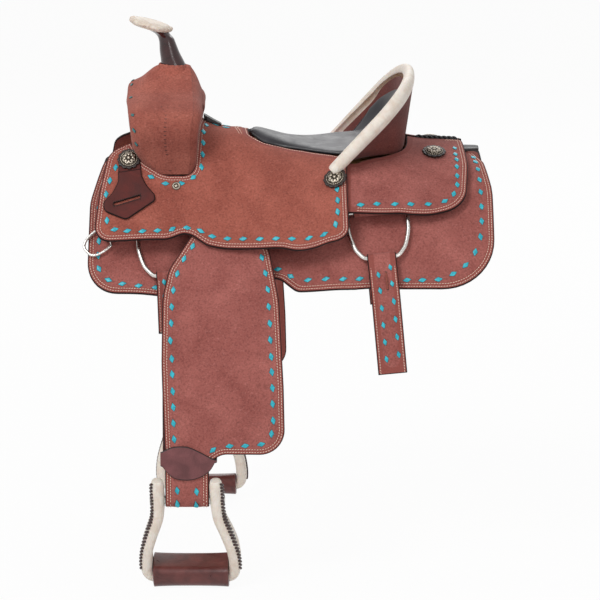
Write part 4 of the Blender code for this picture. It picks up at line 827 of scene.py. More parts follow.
def panel(place, loops, low, high, grid=0.009, rings=RINGS, edge=0.0013, clear=0.0145):
    """A leather panel with a rounded rim: outline and holes, filled, placed and given thickness.

    place(u, v, lift) gives the world point; low and high are lifts, numbers or functions of (u, v)."""
    coords, edges = [], []
    for loop in loops:
        start = len(coords)
        edges += [(start + k, start + (k + 1) % len(loop)) for k in range(len(loop))]
        coords += loop
    for amount in rings:
        extra = inset(loops[0], amount)
        coords += [p for p, d in zip(extra, distances(extra, loops)) if d > amount * 0.9]
    box = np.array([tuple(p) for p in loops[0]])
    us = np.arange(box[:, 0].min() + grid / 2, box[:, 0].max(), grid)
    vs = np.arange(box[:, 1].min() + grid / 2, box[:, 1].max(), grid)
    cells = [Vector((u, v)) for u in us for v in vs]
    keep = inside(cells, loops[0]) & (distances(cells, loops) > clear)
    for hole in loops[1:]:
        keep &= ~inside(cells, hole)
    coords += [p for p, k in zip(cells, keep) if k]
    verts, _, triangles, _, _, _ = delaunay_2d_cdt(coords, edges, [], 1, 1e-7)
    middles = [(verts[f[0]] + verts[f[1]] + verts[f[2]]) / 3 for f in triangles]
    keep = inside(middles, loops[0])
    for hole in loops[1:]:
        keep &= ~inside(middles, hole)
    triangles = [list(f) for f, k in zip(triangles, keep) if k]
    far = distances(verts, loops)
    top, bottom = [], []
    for p, d in zip(verts, far):
        rise = high(p.x, p.y) if callable(high) else high
        fall = low(p.x, p.y) if callable(low) else low
        drop = edge * max(0.0, 1 - d / 0.0018) ** 2
        drop += 0.00025 * sum(math.exp(-((d - row) / 0.0007) ** 2) for row in (ROW_1, ROW_2)) if edge else 0
        top.append(place(p.x, p.y, rise - drop))
        bottom.append(place(p.x, p.y, fall + drop * 0.3))
    n = len(verts)
    faces = triangles + [[n + k for k in reversed(f)] for f in triangles]
    uses = set()
    for f in triangles:
        uses.update(zip(f, f[1:] + f[:1]))
    faces += [[b, a, n + a, n + b] for a, b in uses if (b, a) not in uses]
    return top + bottom, faces, list(far) * 2


# Stitches, lace diamonds and other sewing

def stitch_shape(length, width, height, sides=5):
    """A short fat grain of thread about its own axis: along, across, up."""
    sections = [(-0.50, 0.30), (-0.30, 0.90), (0.30, 0.90), (0.50, 0.30)]
    rings = [[(l * length, math.cos(2 * math.pi * k / sides) * width / 2 * r,
               math.sin(2 * math.pi * k / sides) * height / 2 * r) for k in range(sides)] for l, r in sections]
    verts, faces, _ = loft(rings)
    return verts, faces


def sew(soup, place, line, lift, closed=False, keep=None, pitch=STITCH_PITCH, length=0.0034, width=0.0014,
        height=0.0012, twist=7.0):
    """Stitches along a line of (u, v) points on a placed surface."""
    verts, faces = stitch_shape(length, width, height)
    spin = math.radians(twist)
    for p, t in even(line, pitch, closed):
        if keep and not keep(p):
            continue
        centre = place(p.x, p.y, lift)
        ahead = (place(p.x + t.x * 0.001, p.y + t.y * 0.001, lift) - centre).normalized()
        up = (place(p.x, p.y, lift + 0.001) - centre).normalized()
        across = up.cross(ahead).normalized()
        ahead, across = (ahead * math.cos(spin) + across * math.sin(spin),
                         across * math.cos(spin) - ahead * math.sin(spin))
        soup.add([centre + ahead * l + across * c + up * h for l, c, h in verts], faces)


def diamond_shape(length, width, skew, height):
    """A skewed rhombus of lace, domed, with a painted dark edge for the slits' shadow: (along, across, up, rim
    value).
    """
    corners = [(-length / 2, skew), (-length * 0.06, -width / 2), (length / 2, -skew),
               (length * 0.06, width / 2)]
    ring = []
    for (a, b), (c, d) in zip(corners, corners[1:] + corners[:1]):
        ring += [(a * 0.97, b * 0.97), ((a + c) / 2 * 1.04, (b + d) / 2 * 1.04)]
    points = [(l, c, -0.0008, 0.0) for l, c in ring]
    points += [(l, c, 0.0003, 0.0) for l, c in ring]
    points += [(l * 0.84, c * 0.80, 0.00095 * height, 0.9) for l, c in ring]
    points += [(l * 0.50, c * 0.50, 0.00125 * height, 1.0) for l, c in ring]
    points += [(0, 0, 0.00135 * height, 1.0)]
    faces = []
    for i in range(3):
        a, b = i * 8, (i + 1) * 8
        faces += [[a + k, a + (k + 1) % 8, b + (k + 1) % 8, b + k] for k in range(8)]
    faces += [[24 + k, 24 + (k + 1) % 8, 32] for k in range(8)] + [list(reversed(range(8)))]
    return points, faces


DIAMOND = dict(length=0.0160, width=0.0093, skew=0.0013, height=1.0)


def diamonds(soup, place, spots, lift, flip=1, **size):
    """Lace diamonds at (point, tangent) spots."""
    points, faces = diamond_shape(**{**DIAMOND, **size})
    for p, t in spots:
        across = Vector((-t.y, t.x)) * flip
        verts = [place(p.x + t.x * l + across.x * c, p.y + t.y * l + across.y * c, lift + h)
                 for l, c, h, _ in points]
        soup.add(verts, faces, [r for _, _, _, r in points])


def edge_direction(line, p):
    """Direction of a line of (point, tangent) where it passes nearest to a place."""
    return min(line, key=lambda q: (q[0] - p).length)[1]


def lace_spots(loop, marks, studded):
    """The measured places with the edge's direction, and an even fill where studded allows it."""
    line = even(inset(loop, DIAMOND_IN), 0.002, True)
    spots = [(Vector(m), edge_direction(line, Vector(m))) for m in marks]
    for p, t in line:
        if studded(p) and all((p - q[0]).length > DIAMOND_PITCH * 0.96 for q in spots):
            spots.append((p, t))
    return spots


def trim(name, side_name, side, place, loop, lift, marks, stitched, studded=lambda p: False):
    """Two stitch rows and a row of lace diamonds inside an outline, where the tests allow them."""
    node = f"{name}_{side_name}"
    threads, laces = Soup(), Soup()
    for row in (ROW_1, ROW_2):
        sew(threads, place, inset(loop, row), lift + STITCH_LIFT, closed=True, keep=stitched)
    diamonds(laces, place, lace_spots(loop, marks, studded), lift, -side)
    piece(f"{name}_stitching_{side_name}", threads, THREAD, node)
    piece(f"{name}_diamonds_{side_name}", laces, TURQUOISE, node)


# Skirts and fleece

def dress_skirts(side_name, side):
    node = "skirt_" + side_name
    loop = rounded_outline(SKIRT_OUTLINE)
    place = on(SKIRT, side)
    soup = Soup().add(*panel(place, [loop], -SKIRT_T, 0.0, 0.011))
    piece("skirt_leather_" + side_name, soup, ROUGHOUT_SKIRT, node, [node])
    trim("skirt", side_name, side, place, loop, 0.0, SKIRT_MARKS, lambda p: p.y > 0.035,
         lambda p: p.y > 0.055)
    wool_loop = inset(rounded_outline(SKIRT_OUTLINE, 0.008), FLEECE_INSET)

    def tuft(u, v, seed):
        fine = noise.noise(Vector((u * 330, v * 330, seed)))
        return 0.0022 * (noise.noise(Vector((u * 150, v * 150, seed))) + 0.6 * fine)
    top = -SKIRT_T - 0.0006
    soup = Soup().add(*panel(place, [wool_loop], lambda u, v: top - FLEECE_T - 0.002 + tuft(u, v, 3.0),
                             lambda u, v: top, 0.0055, rings=(0.002, 0.005), edge=0.004, clear=0.007))
    piece("fleece_wool_" + side_name, soup, WOOL, "fleece_" + side_name, ["fleece_" + side_name])


# Seat leather

def dress_seat_leather():
    half = SEAT_HALF_OUTLINE
    mirrored = [(x, -s, r) for x, s, r in reversed(half)]
    loop = rounded_outline(half + [(-0.0735, 0, 0.01)] + mirrored + [(-0.1545, 0, 0.02)])
    place = on(SEAT, -1)
    soup = Soup().add(*panel(place, [loop], -SEAT_T, 0.0, 0.010))
    piece("seat_leather_cover", soup, ROUGHOUT, "seat_leather", ["seat_leather"])

    def by_pad(p):
        return p.x > -0.098 and abs(p.y) < 0.066 + max(0.0, p.x + 0.03) * 0.70

    threads, laces = Soup(), Soup()
    sew(threads, place, inset(loop, ROW_1), STITCH_LIFT, True)
    sew(threads, place, inset(loop, ROW_2), STITCH_LIFT, True, keep=lambda p: not by_pad(p))
    line = even(inset(loop, DIAMOND_IN), 0.003, True)
    for side in (-1, 1):
        places = [Vector((x, -side * s)) for x, s in SEAT_MARKS]
        spots = [(p, Vector((1, 0)) if abs(p.y) < 0.02 else edge_direction(line, p)) for p in places]
        diamonds(laces, place, spots, 0.0, -side)
    for x, s in ((-0.0955, 0.004), (-0.0912, 0.003)):
        for side in (-1, 1):
            line = [Vector((x, s * side)), Vector((x + 0.0075, (s + 0.030) * side))]
            sew(threads, place, line, STITCH_LIFT)
    piece("seat_stitching", threads, THREAD, "seat_leather")
    piece("seat_diamonds", laces, TURQUOISE, "seat_leather")
    strip = rounded_outline([(-0.150, 0.012, 0.006), (-0.119, 0.009, 0.004), (-0.119, -0.009, 0.004),
                             (-0.150, -0.012, 0.006)], 0.002, 12)
    soup = Soup().add(*panel(place, [strip], 0.0010, lambda x, s: 0.0045 + 0.006 * (-0.119 - x) / 0.031, 0.003,
                             rings=RINGS[:2], edge=0.0016, clear=0.003))
    piece("handhold_strip_leather", soup, BLACK_LEATHER, "handhold_strip", ["handhold_strip"])


# Cantle, seat pad and rear jockeys

def superellipse(l, half_width, power):
    return (1 - min(1.0, abs(l) / half_width) ** power) ** (1 / power)


def rim_point(phi):
    """Centre of the cantle's rolled rim; phi runs from -1 at the left arm to 1 at the right."""
    a = abs(phi)
    if a > 0.62:
        l = CANTLE_HALF_W
        x = 0.150 - (0.150 - 0.0825) * (a - 0.62) / 0.38
    else:
        l = CANTLE_HALF_W * math.sin(math.pi / 2 * a / 0.62) ** 0.87
        x = 0.150 + 0.056 * superellipse(l, CANTLE_HALF_W, 2.3)
    z = 0.0068 + (x - 0.083) * 1.088
    return Vector((x, math.copysign(l, phi), z))


def along(table, t):
    """Smooth curve through rows (t, values...), with tangents from their neighbours."""
    rows = np.array(table, float)
    k = int(np.clip(np.searchsorted(rows[:, 0], t) - 1, 0, len(rows) - 2))
    slopes = np.gradient(rows[:, 1:], rows[:, 0], axis=0)
    span = rows[k + 1, 0] - rows[k, 0]
    f = (t - rows[k, 0]) / span
    return ((1 + 2 * f) * (1 - f) ** 2 * rows[k, 1:] + f * (1 - f) ** 2 * span * slopes[k]
            + f * f * (3 - 2 * f) * rows[k + 1, 1:] + f * f * (f - 1) * span * slopes[k + 1])


def base_point(phi):
    """Foot of the cantle board, under the rim."""
    x, l = along(CANTLE_FOOT, abs(phi))
    _, p = REAR.table(x)
    return Vector((x, math.copysign(l, phi), float(np.interp(l, p[:, 0], p[:, 1])) - FOOT_SINK))


def cantle_sheet(phis, ts, offset):
    """Grid on the cantle: from its foot (t = 0) to under the roll (t = 1), offset to the rear."""
    grid = []
    for phi in phis:
        foot, top = base_point(phi), rim_point(phi)
        ahead = rim_point(min(phi + 0.05, 1)) - rim_point(max(phi - 0.05, -1))
        out = Vector((ahead.y, -ahead.x, 0)).normalized()
        rise = (top - foot).normalized()
        lean = max(0.3, rise.cross(ahead.normalized()).length)
        clear = CANTLE_ROLL_R + 0.0024 + max(0.0, offset * out.dot(rise))
        limit = 1 - clear / lean / (top - foot).length
        grid.append([foot.lerp(top, t * limit) + out * offset for t in ts])
    return grid


def cantle_foot_line(offset, count):
    """Where the cantle's sheet at an offset meets the leather under it, as (x, sideways) on one side."""
    line = []
    for k in range(count + 1):
        low, high = cantle_sheet([0.80 * k / count], [0, 1], offset)[0]
        p = low.lerp(high, (FOOT_SINK + 0.001) / (high.z - low.z))
        line.append((p.x, abs(p.y)))
    return line


# Section of the cantle roll: across (outwards) and up, lapped further down the outside
ROLL_SECTION = [
    (0.0000, 0.0098), (0.0045, 0.0090), (0.0086, 0.0062), (0.0108, 0.0018), (0.0116, -0.0040),
    (0.0115, -0.0100), (0.0106, -0.0142), (0.0090, -0.0152), (0.0078, -0.0120), (0.0040, -0.0070),
    (-0.0030, -0.0060), (-0.0078, -0.0072), (-0.0092, -0.0052), (-0.0098, -0.0010), (-0.0080, 0.0050),
    (-0.0042, 0.0088),
]


def dress_cantle():
    phis = [math.copysign(abs(k / 54) ** 0.9, k) * 0.955 for k in range(-54, 55)]
    back = (BOARD_HALF_T + (GAP + 0.0036), BOARD_HALF_T + GAP)
    liner = (-BOARD_HALF_T - GAP, -BOARD_HALF_T - (GAP + 0.003))
    # Both sheets take the darker roughout, which on the cantle's back is painted shade.
    for name, foot, offsets in (("cantle_back", 0.0, back), ("cantle_liner", 0.04, liner)):
        ts = [foot + (1 - foot) * k / 12 for k in range(13)]
        soup = Soup().add(*shell(*(cantle_sheet(phis, ts, offset) for offset in offsets)))
        piece(name + "_leather", soup, ROUGHOUT_DARK, name, [name])
    count = 120
    section = spline(ROLL_SECTION, 40, closed=True)
    rings = []
    for k in range(-count, count + 1):
        phi = k / count * 1.06
        centre = rim_point(phi)
        tangent = (rim_point(phi + 0.01) - rim_point(phi - 0.01)).normalized()
        held = max(-1.0, min(1.0, phi))
        down = base_point(held) - rim_point(held)
        down = (down - tangent * down.dot(tangent)).normalized()
        out = tangent.cross(down).normalized()
        if out.dot(Vector((0.3, phi * 3, 0))) < 0:
            out = -out
        shrink = 0.80 if abs(k) == count else 0.95 if abs(k) == count - 1 else 1.0
        ripple = 1 + 0.03 * noise.noise(Vector((phi * 9, 2.0, 0)))
        crest = 0.88 + 0.12 * min(1.0, abs(phi) / 0.45)
        rings.append([centre + out * (c * shrink * ripple * crest) - down * (h * shrink) for c, h in section])
    piece("cantle_roll", Soup().add(*loft(rings)), RAWHIDE, "cantle_binding", ["cantle_binding"])


def pad_grid(rows_out, cols_out):
    """Middle surface of the padded seat, from its front tip back and up the cantle."""
    edge = [(-0.066, 0.010), (-0.060, 0.030), (-0.044, 0.0475), (-0.015, 0.0520), (0.023, 0.070),
            (0.059, 0.0990), (0.079, 0.1120), (0.094, 0.1150)]
    mids = [(-0.0675, 0.0385), (-0.056, 0.0360), (-0.035, 0.0295), (-0.005, 0.0210), (0.040, 0.0130),
            (0.082, 0.0090), (0.112, 0.0095), (0.134, 0.0135)]
    grid = []
    for k, ((x, s), (xm, zm)) in enumerate(zip(edge, mids)):
        side_point = SEAT.point(x, s, 0, 1) - Vector((0, 0, 0.002))
        power = 2.0 + 0.25 * k
        row = []
        for j in range(-7, 8):
            u = math.sin(math.pi / 2 * j / 7)
            row.append(Vector((xm + (side_point.x - xm) * abs(u) ** power, side_point.y * u,
                               zm + (side_point.z - zm) * abs(u) ** 2.4)))
        grid.append(row)
    climb = ((0.16, 0.016, 0.84), (0.32, 0.006, 0.80), (0.52, 0.0030, 0.74), (0.78, 0.0030, 0.62))
    for t, away, reach in climb:
        phis = [reach * math.copysign(abs(k / 7) ** 0.95, k) for k in range(-7, 8)]
        grid.append([line[0] for line in cantle_sheet(phis, [t], -BOARD_HALF_T - away)])
    columns = [curve(column, rows_out) for column in zip(*grid)]
    return [curve(row, cols_out) for row in zip(*columns)]


def dress_seat_pad():
    rows, cols = 64, 72
    grid = pad_grid(rows, cols)
    normals = grid_normals(grid)
    if normals[rows // 3][cols // 2][2] < 0:
        normals = -normals
    points = np.array([[tuple(p) for p in row] for row in grid])
    along_row = np.linalg.norm(np.diff(points, axis=1), axis=2)
    along_col = np.linalg.norm(np.diff(points, axis=0), axis=2)
    left = np.concatenate([np.zeros((rows + 1, 1)), np.cumsum(along_row, axis=1)], axis=1)
    front = np.concatenate([np.zeros((1, cols + 1)), np.cumsum(along_col, axis=0)], axis=0)
    border = np.minimum(np.minimum(left, left[:, -1:] - left), np.minimum(front, front[-1:, :] - front))
    top, low = [], []
    for i in range(rows + 1):
        top_row, low_row = [], []
        for j in range(cols + 1):
            n, p, d = Vector(normals[i][j]), grid[i][j], border[i][j]
            height = 0.0010 + 0.0078 * (1 - math.exp(-d / 0.0065))
            height += 0.0006 * noise.noise(Vector((p.x * 22, p.y * 16, p.z * 22)))
            top_row.append(p + n * height)
            low_row.append(p - n * 0.0006)
        top.append(top_row)
        low.append(low_row)
    pad = piece("seat_pad_cover", Soup().add(*shell(top, low)), SEAT_COVER, "seat_pad",
                ["seat_pad"], smooth=70)
    loop = [row[0] for row in reversed(grid)] + grid[0][1:] + [row[-1] for row in grid[1:]]
    spots = [p + Vector((0, 0, 0.0016)) for p, _ in even(loop, 0.006)]
    piece("seat_welt", Soup().add(*tube(spots, 0.0023, 8)), BLACK_LEATHER, "seat_pad")


def dress_rear_jockey(side_name, side):
    inner = []
    for x, sideways in cantle_foot_line(BOARD_HALF_T + 0.0070, 13)[1:]:
        run, p = REAR.table(x)
        inner.append((x, float(np.interp(sideways, p[:, 0], run)), 0))
    inner = [(inner[0][0], 0.007, 0.003)] + inner + [(0.093, inner[-1][1], 0.002)]
    loop = rounded_outline(inner + REAR_JOCKEY_OUTLINE)
    place = on(REAR, side)
    node = "rear_jockey_" + side_name
    soup = Soup().add(*panel(place, [loop], -0.0045, 0.0))
    piece("rear_jockey_leather_" + side_name, soup, ROUGHOUT_SKIRT, node, [node])

    def rear_edge(p):
        return p.x > 0.112 and (p.x > 0.270 or p.y > 0.195)
    trim("rear_jockey", side_name, side, place, loop, 0.0, JOCKEY_MARKS, rear_edge)


# Fork cover and horn

# The turn of the fork's front and rear corners: share of the turn, then across and up where it is slanted
FRONT_CORNER = ((0, 0, 0), (1 / 3, 0.10, 0.25), (2 / 3, 0.45, 0.49), (1, 1, 1))
REAR_CORNER = ((1, 1, 1), (2 / 3, 0.64, 0.86), (1 / 3, 0.29, 0.50), (0, 0, 0))


def fork_rings(grow):
    """Open sections along the arch, from the left foot over the top to the right foot."""
    half = []
    for station, ((li, zi), (lo, zo), xf, xr) in enumerate(FORK_STATIONS, 1):
        crown = station / len(FORK_STATIONS)
        low, high = Vector((0, li, zi)), Vector((0, lo, zo))
        up = (high - low).normalized()
        depth = (high - low).length
        width = xr - xf
        front_r = min(0.20 * width + 0.0285 * crown ** 6, 0.45 * depth + 0.020 * crown)
        rear_r = min(0.17 * width, 0.45 * depth)
        rise = min(0.52 * depth, 0.012 + 0.0245 * crown ** 3)
        slant = crown ** 8
        front, rear = Vector((xf - grow, 0, 0)) + low, Vector((xr + grow, 0, 0)) + low
        ring = [front, front + up * (depth - rise) * 0.5]
        corners = ((front, front_r + grow, FRONT_CORNER), (rear, -rear_r - grow, REAR_CORNER))
        for start, inward, corner in corners:
            for share, far, tall in corner:
                a = math.pi / 2 * share
                across = (1 - math.cos(a)) * (1 - slant) + far * slant
                height = math.sin(a) * (1 - slant) + tall * slant
                climb = up * (depth - rise + (rise + grow) * height)
                ring.append(start + Vector((inward * across, 0, 0)) + climb)
        ring += [rear + up * (depth - rise) * 0.5, rear]
        half.append(ring)
    left = [[Vector((p.x, -p.y, p.z)) for p in ring] for ring in half]
    return left + [[Vector(p) for p in ring] for ring in reversed(half[:-1])]


def fine_fork(grow):
    """Dense grid of points over the fork, grown outwards: along the arch, then from front to rear."""
    columns = [curve(column, FORK_ALONG) for column in zip(*fork_rings(grow))]
    return [curve(row, FORK_ACROSS) for row in zip(*columns)]


def seam_x(z):
    """The cover's sewn seam down each swell."""
    heights = [-0.020, 0.010, 0.040, 0.075, 0.100]
    return float(np.interp(z, heights, [-0.2035, -0.2050, -0.2085, -0.2105, -0.2150]))


def fork_relief(p, j):
    """How far the cover stands out: the seam's lip, pleats under the horn, unevenness and thin rims."""
    move = 0.0
    if abs(p.y) > 0.05 and p.z < 0.105 and 12 < j < FORK_ACROSS - 12:
        d = p.x - seam_x(p.z)
        fade = min(1.0, max(0.0, (0.105 - p.z) / 0.02))
        pucker = 0.75 + 0.25 * math.sin(2 * math.pi * p.z / 0.0080)
        lip = math.exp(-(d / 0.0042) ** 2) if d < 0 else -1.1 * math.exp(-(d / 0.0022) ** 2)
        move += fade * pucker * 0.0013 * lip
    if p.z > 0.115:
        from_horn = Vector((p.x - HORN_X, p.y))
        pleat = math.cos(15 * math.atan2(from_horn.y, from_horn.x))
        move += 0.0011 * pleat * math.exp(-(max(from_horn.length - 0.0215, 0.0) / 0.0055) ** 2)
    move += 0.0005 * noise.noise(p * 26)
    return move - 0.0014 if j in (0, FORK_ACROSS) else move


def dress_fork_cover():
    outer, inner = fine_fork(GAP + COVER_T), fine_fork(GAP + 0.0004)
    normals = grid_normals(outer)
    if normals[FORK_ALONG // 2][FORK_ACROSS // 2][2] < 0:
        normals = -normals
    for i, row in enumerate(outer):
        for j, p in enumerate(row):
            row[j] = p + Vector(normals[i][j]) * fork_relief(p, j)
    rim = [[0.0 if j in (0, FORK_ACROSS) else 0.02 for j in range(FORK_ACROSS + 1)] for _ in outer]
    piece("fork_cover_leather", Soup().add(*shell(outer, inner, rim)), ROUGHOUT_FORK, "fork_cover",
          ["fork_cover"], smooth=60)
    return outer, normals


def dress_fork_seam(outer, normals):
    """Stitches down the seam on each swell."""
    threads = Soup()
    shape, faces = stitch_shape(0.0052, 0.0012, 0.0011)
    crest = [row[FORK_ACROSS // 2] for row in outer]
    for side in (-1, 1):
        own = [i for i, p in enumerate(crest) if p.y * side >= 0]
        line = []
        for k in range(9):
            z = -0.012 + 0.108 * k / 8
            i = min(own, key=lambda q: abs(crest[q].z - z))
            j = min(range(FORK_ACROSS + 1), key=lambda q: abs(outer[i][q].x - seam_x(z)))
            line.append(outer[i][j] + Vector(normals[i][j]) * 0.0004)
        up = Vector((0, side, 0.2)).normalized()
        for p, t in even(curve(line, 30), 0.0075):
            across = up.cross(t).normalized()
            threads.add([p + across * l + t * c + up * h for l, c, h in shape], faces)
    piece("fork_seam_stitches", threads, LACE_DARK, "fork_cover")


def dress_fork_lace(outer, normals):
    """Slanted lace diamonds beside the front rim."""
    laces = Soup()
    points, faces = diamond_shape(0.0120, 0.0070, 0.0014, 0.9)
    near_front, rim_in, lean = range(14, 60), 0.0085, 0.55
    rim_line = []
    for row in outer[6:FORK_ALONG - 5:6]:
        front_x = min(p.x for p in row)
        rim_line.append(row[min(near_front, key=lambda j: abs(row[j].x - front_x - rim_in))])
    spots = curve(rim_line, 200)
    for z, sign in itertools.product(LACE_HEIGHTS, (-1, 1)):
        own = [k for k in range(1, len(spots) - 1) if spots[k].y * sign > 0]
        k = min(own, key=lambda q: abs(spots[q].z - z))
        p, t = spots[k], (spots[k + 1] - spots[k - 1]).normalized()
        i, j = min(itertools.product(range(0, FORK_ALONG + 1, 3), near_front[::4]),
                   key=lambda q: (outer[q[0]][q[1]] - p).length)
        up = Vector(normals[i][j])
        across = up.cross(t).normalized()
        ahead = (t + across * lean).normalized()
        laces.add([p + ahead * l + across * c + up * (h + 0.0002) for l, c, h, _ in points], faces,
                  [r for _, _, _, r in points])
    piece("fork_rim_lace", laces, TEAL, "fork_cover")


def dress_fork_collar():
    """Gathered leather collar round the horn's foot."""
    profile = [(0.0290, 0.1275, 0.0), (0.0272, 0.1360, 0.3), (0.0256, 0.1430, 0.6), (0.0244, 0.1490, 1.0),
               (0.0236, 0.1535, 1.0), (0.0225, 0.1550, 0.8), (0.0215, 0.1535, 0.3), (0.0213, 0.1480, 0.0)]
    rings = []
    for r, z, wave in profile:
        ring = []
        for k in range(120):
            a = 2 * math.pi * k / 120
            gather = abs(math.cos(8 * a)) ** 0.8
            grow = 1 + 0.030 * wave * gather
            ring.append(Vector((HORN_X + r * grow * math.cos(a), r * grow * math.sin(a),
                                z + 0.0012 * wave * gather - 0.0016 * math.cos(a) * wave)))
        rings.append(ring)
    piece("fork_collar", Soup().add(*loft(rings)), ROUGHOUT_FORK, "fork_cover", smooth=60)


def dress_fork():
    outer, normals = dress_fork_cover()
    dress_fork_seam(outer, normals)
    dress_fork_lace(outer, normals)
    dress_fork_collar()


def ellipse_ring(centre, rx, ry, tilt, count, wobble):
    """Ring of points on a tilted ellipse, its radius scaled by wobble(angle)."""
    spin = Matrix.Rotation(tilt, 3, "Y")
    ring = []
    for k in range(count):
        a = 2 * math.pi * k / count
        grow = wobble(a)
        ring.append(Vector(centre) + spin @ Vector((rx * math.cos(a) * grow, ry * math.sin(a) * grow, 0)))
    return ring


def dress_horn():
    profile = [(0.0003, HORN_X, 0.0213, 0.0), (0.0120, HORN_X, 0.0213, 0.0), (0.0190, -0.2026, 0.0208, 0.15),
               (0.0378, -0.2081, 0.0176, 0.45), (0.0552, -0.2119, 0.0149, 0.7), (0.0650, -0.2162, 0.0158, 0.9)]
    rows = [(x, 0, HORN_FLOOR_Z + rise, r, r, CAP_TILT * turn) for rise, x, r, turn in profile]
    spin = Matrix.Rotation(CAP_TILT, 3, "Y")
    for drop, back, rx, ry in ((0.0098, 0.0180, 0.0200, 0.0210), (0.0060, 0.004, 0.0300, 0.0285)):
        centre = CAP_CENTRE + spin @ Vector((back, 0, -drop))
        rows.append((*centre, rx, ry, CAP_TILT))

    def lapped(a):
        """The leather's lap down the back of the neck: a low ridge and its shadow line."""
        d = (a - 0.35 + math.pi) % (2 * math.pi) - math.pi
        return 1 + 0.035 * math.exp(-(d / 0.10) ** 2) - 0.05 * math.exp(-((d + 0.16) / 0.05) ** 2)
    rings = [ellipse_ring(r[:3], r[3], r[4], r[5], 72, lapped) for r in spline(rows, 46)]
    piece("horn_neck", Soup().add(*loft(rings)), HORN_LEATHER, "horn", ["horn"], smooth=60)
    rng = random.Random(7)
    waves = [(rng.uniform(0.2, 1.0), rng.uniform(0, 6.28)) for _ in range(6)]

    def lumps(scale):
        def wobble(a):
            return 1 + scale * sum(w * math.sin((5 + 4 * k) * a + q) / (1 + 0.5 * k)
                                   for k, (w, q) in enumerate(waves))
        return wobble
    cap = []
    for h, r in ((-0.0062, 0.80), (-0.0066, 0.92), (-0.0050, 1.01), (0.0, 1.03), (0.0042, 1.0), (0.0060, 0.92),
                 (0.0066, 0.80), (0.0064, 0.60), (0.0060, 0.35), (0.0058, 0.12)):
        centre = CAP_CENTRE + spin @ Vector((0, 0, h - CAP_SINK))
        cap.append(ellipse_ring(centre, CAP_R * r, CAP_R * r * 0.94, CAP_TILT, 72, lumps(0.006)))
    piece("horn_cap_top", Soup().add(*loft(cap)), CAP_RAWHIDE, "horn_cap", ["horn_cap"], smooth=60)
    roll, radii = [], []
    for k in range(96):
        a = 2 * math.pi * k / 96
        grow = lumps(0.012)(a)
        roll.append(CAP_CENTRE + spin @ Vector(((CAP_R + 0.0008) * math.cos(a) * grow,
                                                (CAP_R * 0.94 + 0.0012) * math.sin(a) * grow,
                                                -0.0004 + 0.0007 * math.sin(7 * a + 1))))
        radii.append(0.0042 * (1 + 0.10 * math.sin(26 * a) + 0.08 * math.sin(11 * a + 2)) - CAP_ROLL_TRIM)
    piece("horn_cap_roll", Soup().add(*tube(roll, radii, 14, closed=True)), CAP_RAWHIDE,
          "horn_cap_binding", ["horn_cap_binding"], smooth=70)


# Rear lacing and tie

def dress_rear_ties():
    ridge = curve([REAR.point(x, 0, -0.0028) for x in (0.2195, 0.237, 0.2545, 0.272, 0.290)], 60)
    soup = Soup()
    for start in (0.0, 2 * math.pi / 3, 4 * math.pi / 3):
        strand = []
        for k, p in enumerate(ridge):
            a = start + 2 * math.pi * (p.x - 0.2195) / 0.026
            fade = min(1.0, k / 4, (60 - k) / 4) * 0.5 + 0.5
            strand.append(p + Vector((0, math.cos(a), math.sin(a))) * 0.0036 * fade)
        soup.add(*tube(strand, 0.0031, 10))
    piece("rear_lacing_twist", soup, BLACK_LEATHER, "rear_lacing", ["rear_lacing"], smooth=70)
    outline = rounded_outline([(0.3020, 0.024, 0.003), (0.3290, 0.020, 0.008), (0.3290, -0.020, 0.008),
                               (0.3020, -0.024, 0.003)], 0.003, 10)
    place = on(SKIRT, -1)
    soup = Soup().add(*panel(place, [outline], 0.0004, lambda x, s: 0.0050 + 0.0006 * math.cos(s * 260), 0.003,
                             rings=RINGS[:2], edge=0.0018, clear=0.003))
    piece("rear_tie_leather", soup, BLACK_LEATHER, "rear_tie", ["rear_tie"])


# Conchos

CONCHO_PLACES = [("front", SEAT, -0.2745, 0.1215, 0.0012), ("middle", SEAT, 0.0775, 0.1870, 0.0012),
                 ("rear", REAR, 0.2480, 0.0790, 0.0030)]


def seat_matrix(drape, x, s, side, lift):
    """Transform that stands an object's Z axis on a draped surface."""
    n = drape.normal(x, s, side)
    turn = Vector((0, 0, 1)).rotation_difference(n).to_matrix().to_4x4()
    return Matrix.Translation(drape.point(x, s, 0, side) + n * lift) @ turn


def medal(matrix, radius, steps, count, height, floor, tone):
    """Round relief on a flat underside; height(r, angle) gives its height and its rim value."""
    z, value = height(0.0, 0.0)
    verts, rim = [Vector((0, 0, z))], [value]
    for step in range(1, steps + 1):
        r = radius * step / steps
        for k in range(count):
            a = 2 * math.pi * k / count
            z, value = height(r, a)
            verts.append(Vector((r * math.cos(a), r * math.sin(a), z)))
            rim.append(value)
    verts += [Vector((v.x, v.y, floor)) for v in verts[-count:]]
    rim += [tone] * count
    faces = [[0, 1 + k, 1 + (k + 1) % count] for k in range(count)]
    for i in range(steps):
        a, b = 1 + i * count, 1 + (i + 1) * count
        faces += [[a + k, b + k, b + (k + 1) % count, a + (k + 1) % count] for k in range(count)]
    faces.append([len(verts) - count + k for k in range(count)])
    return [matrix @ v for v in verts], faces, rim


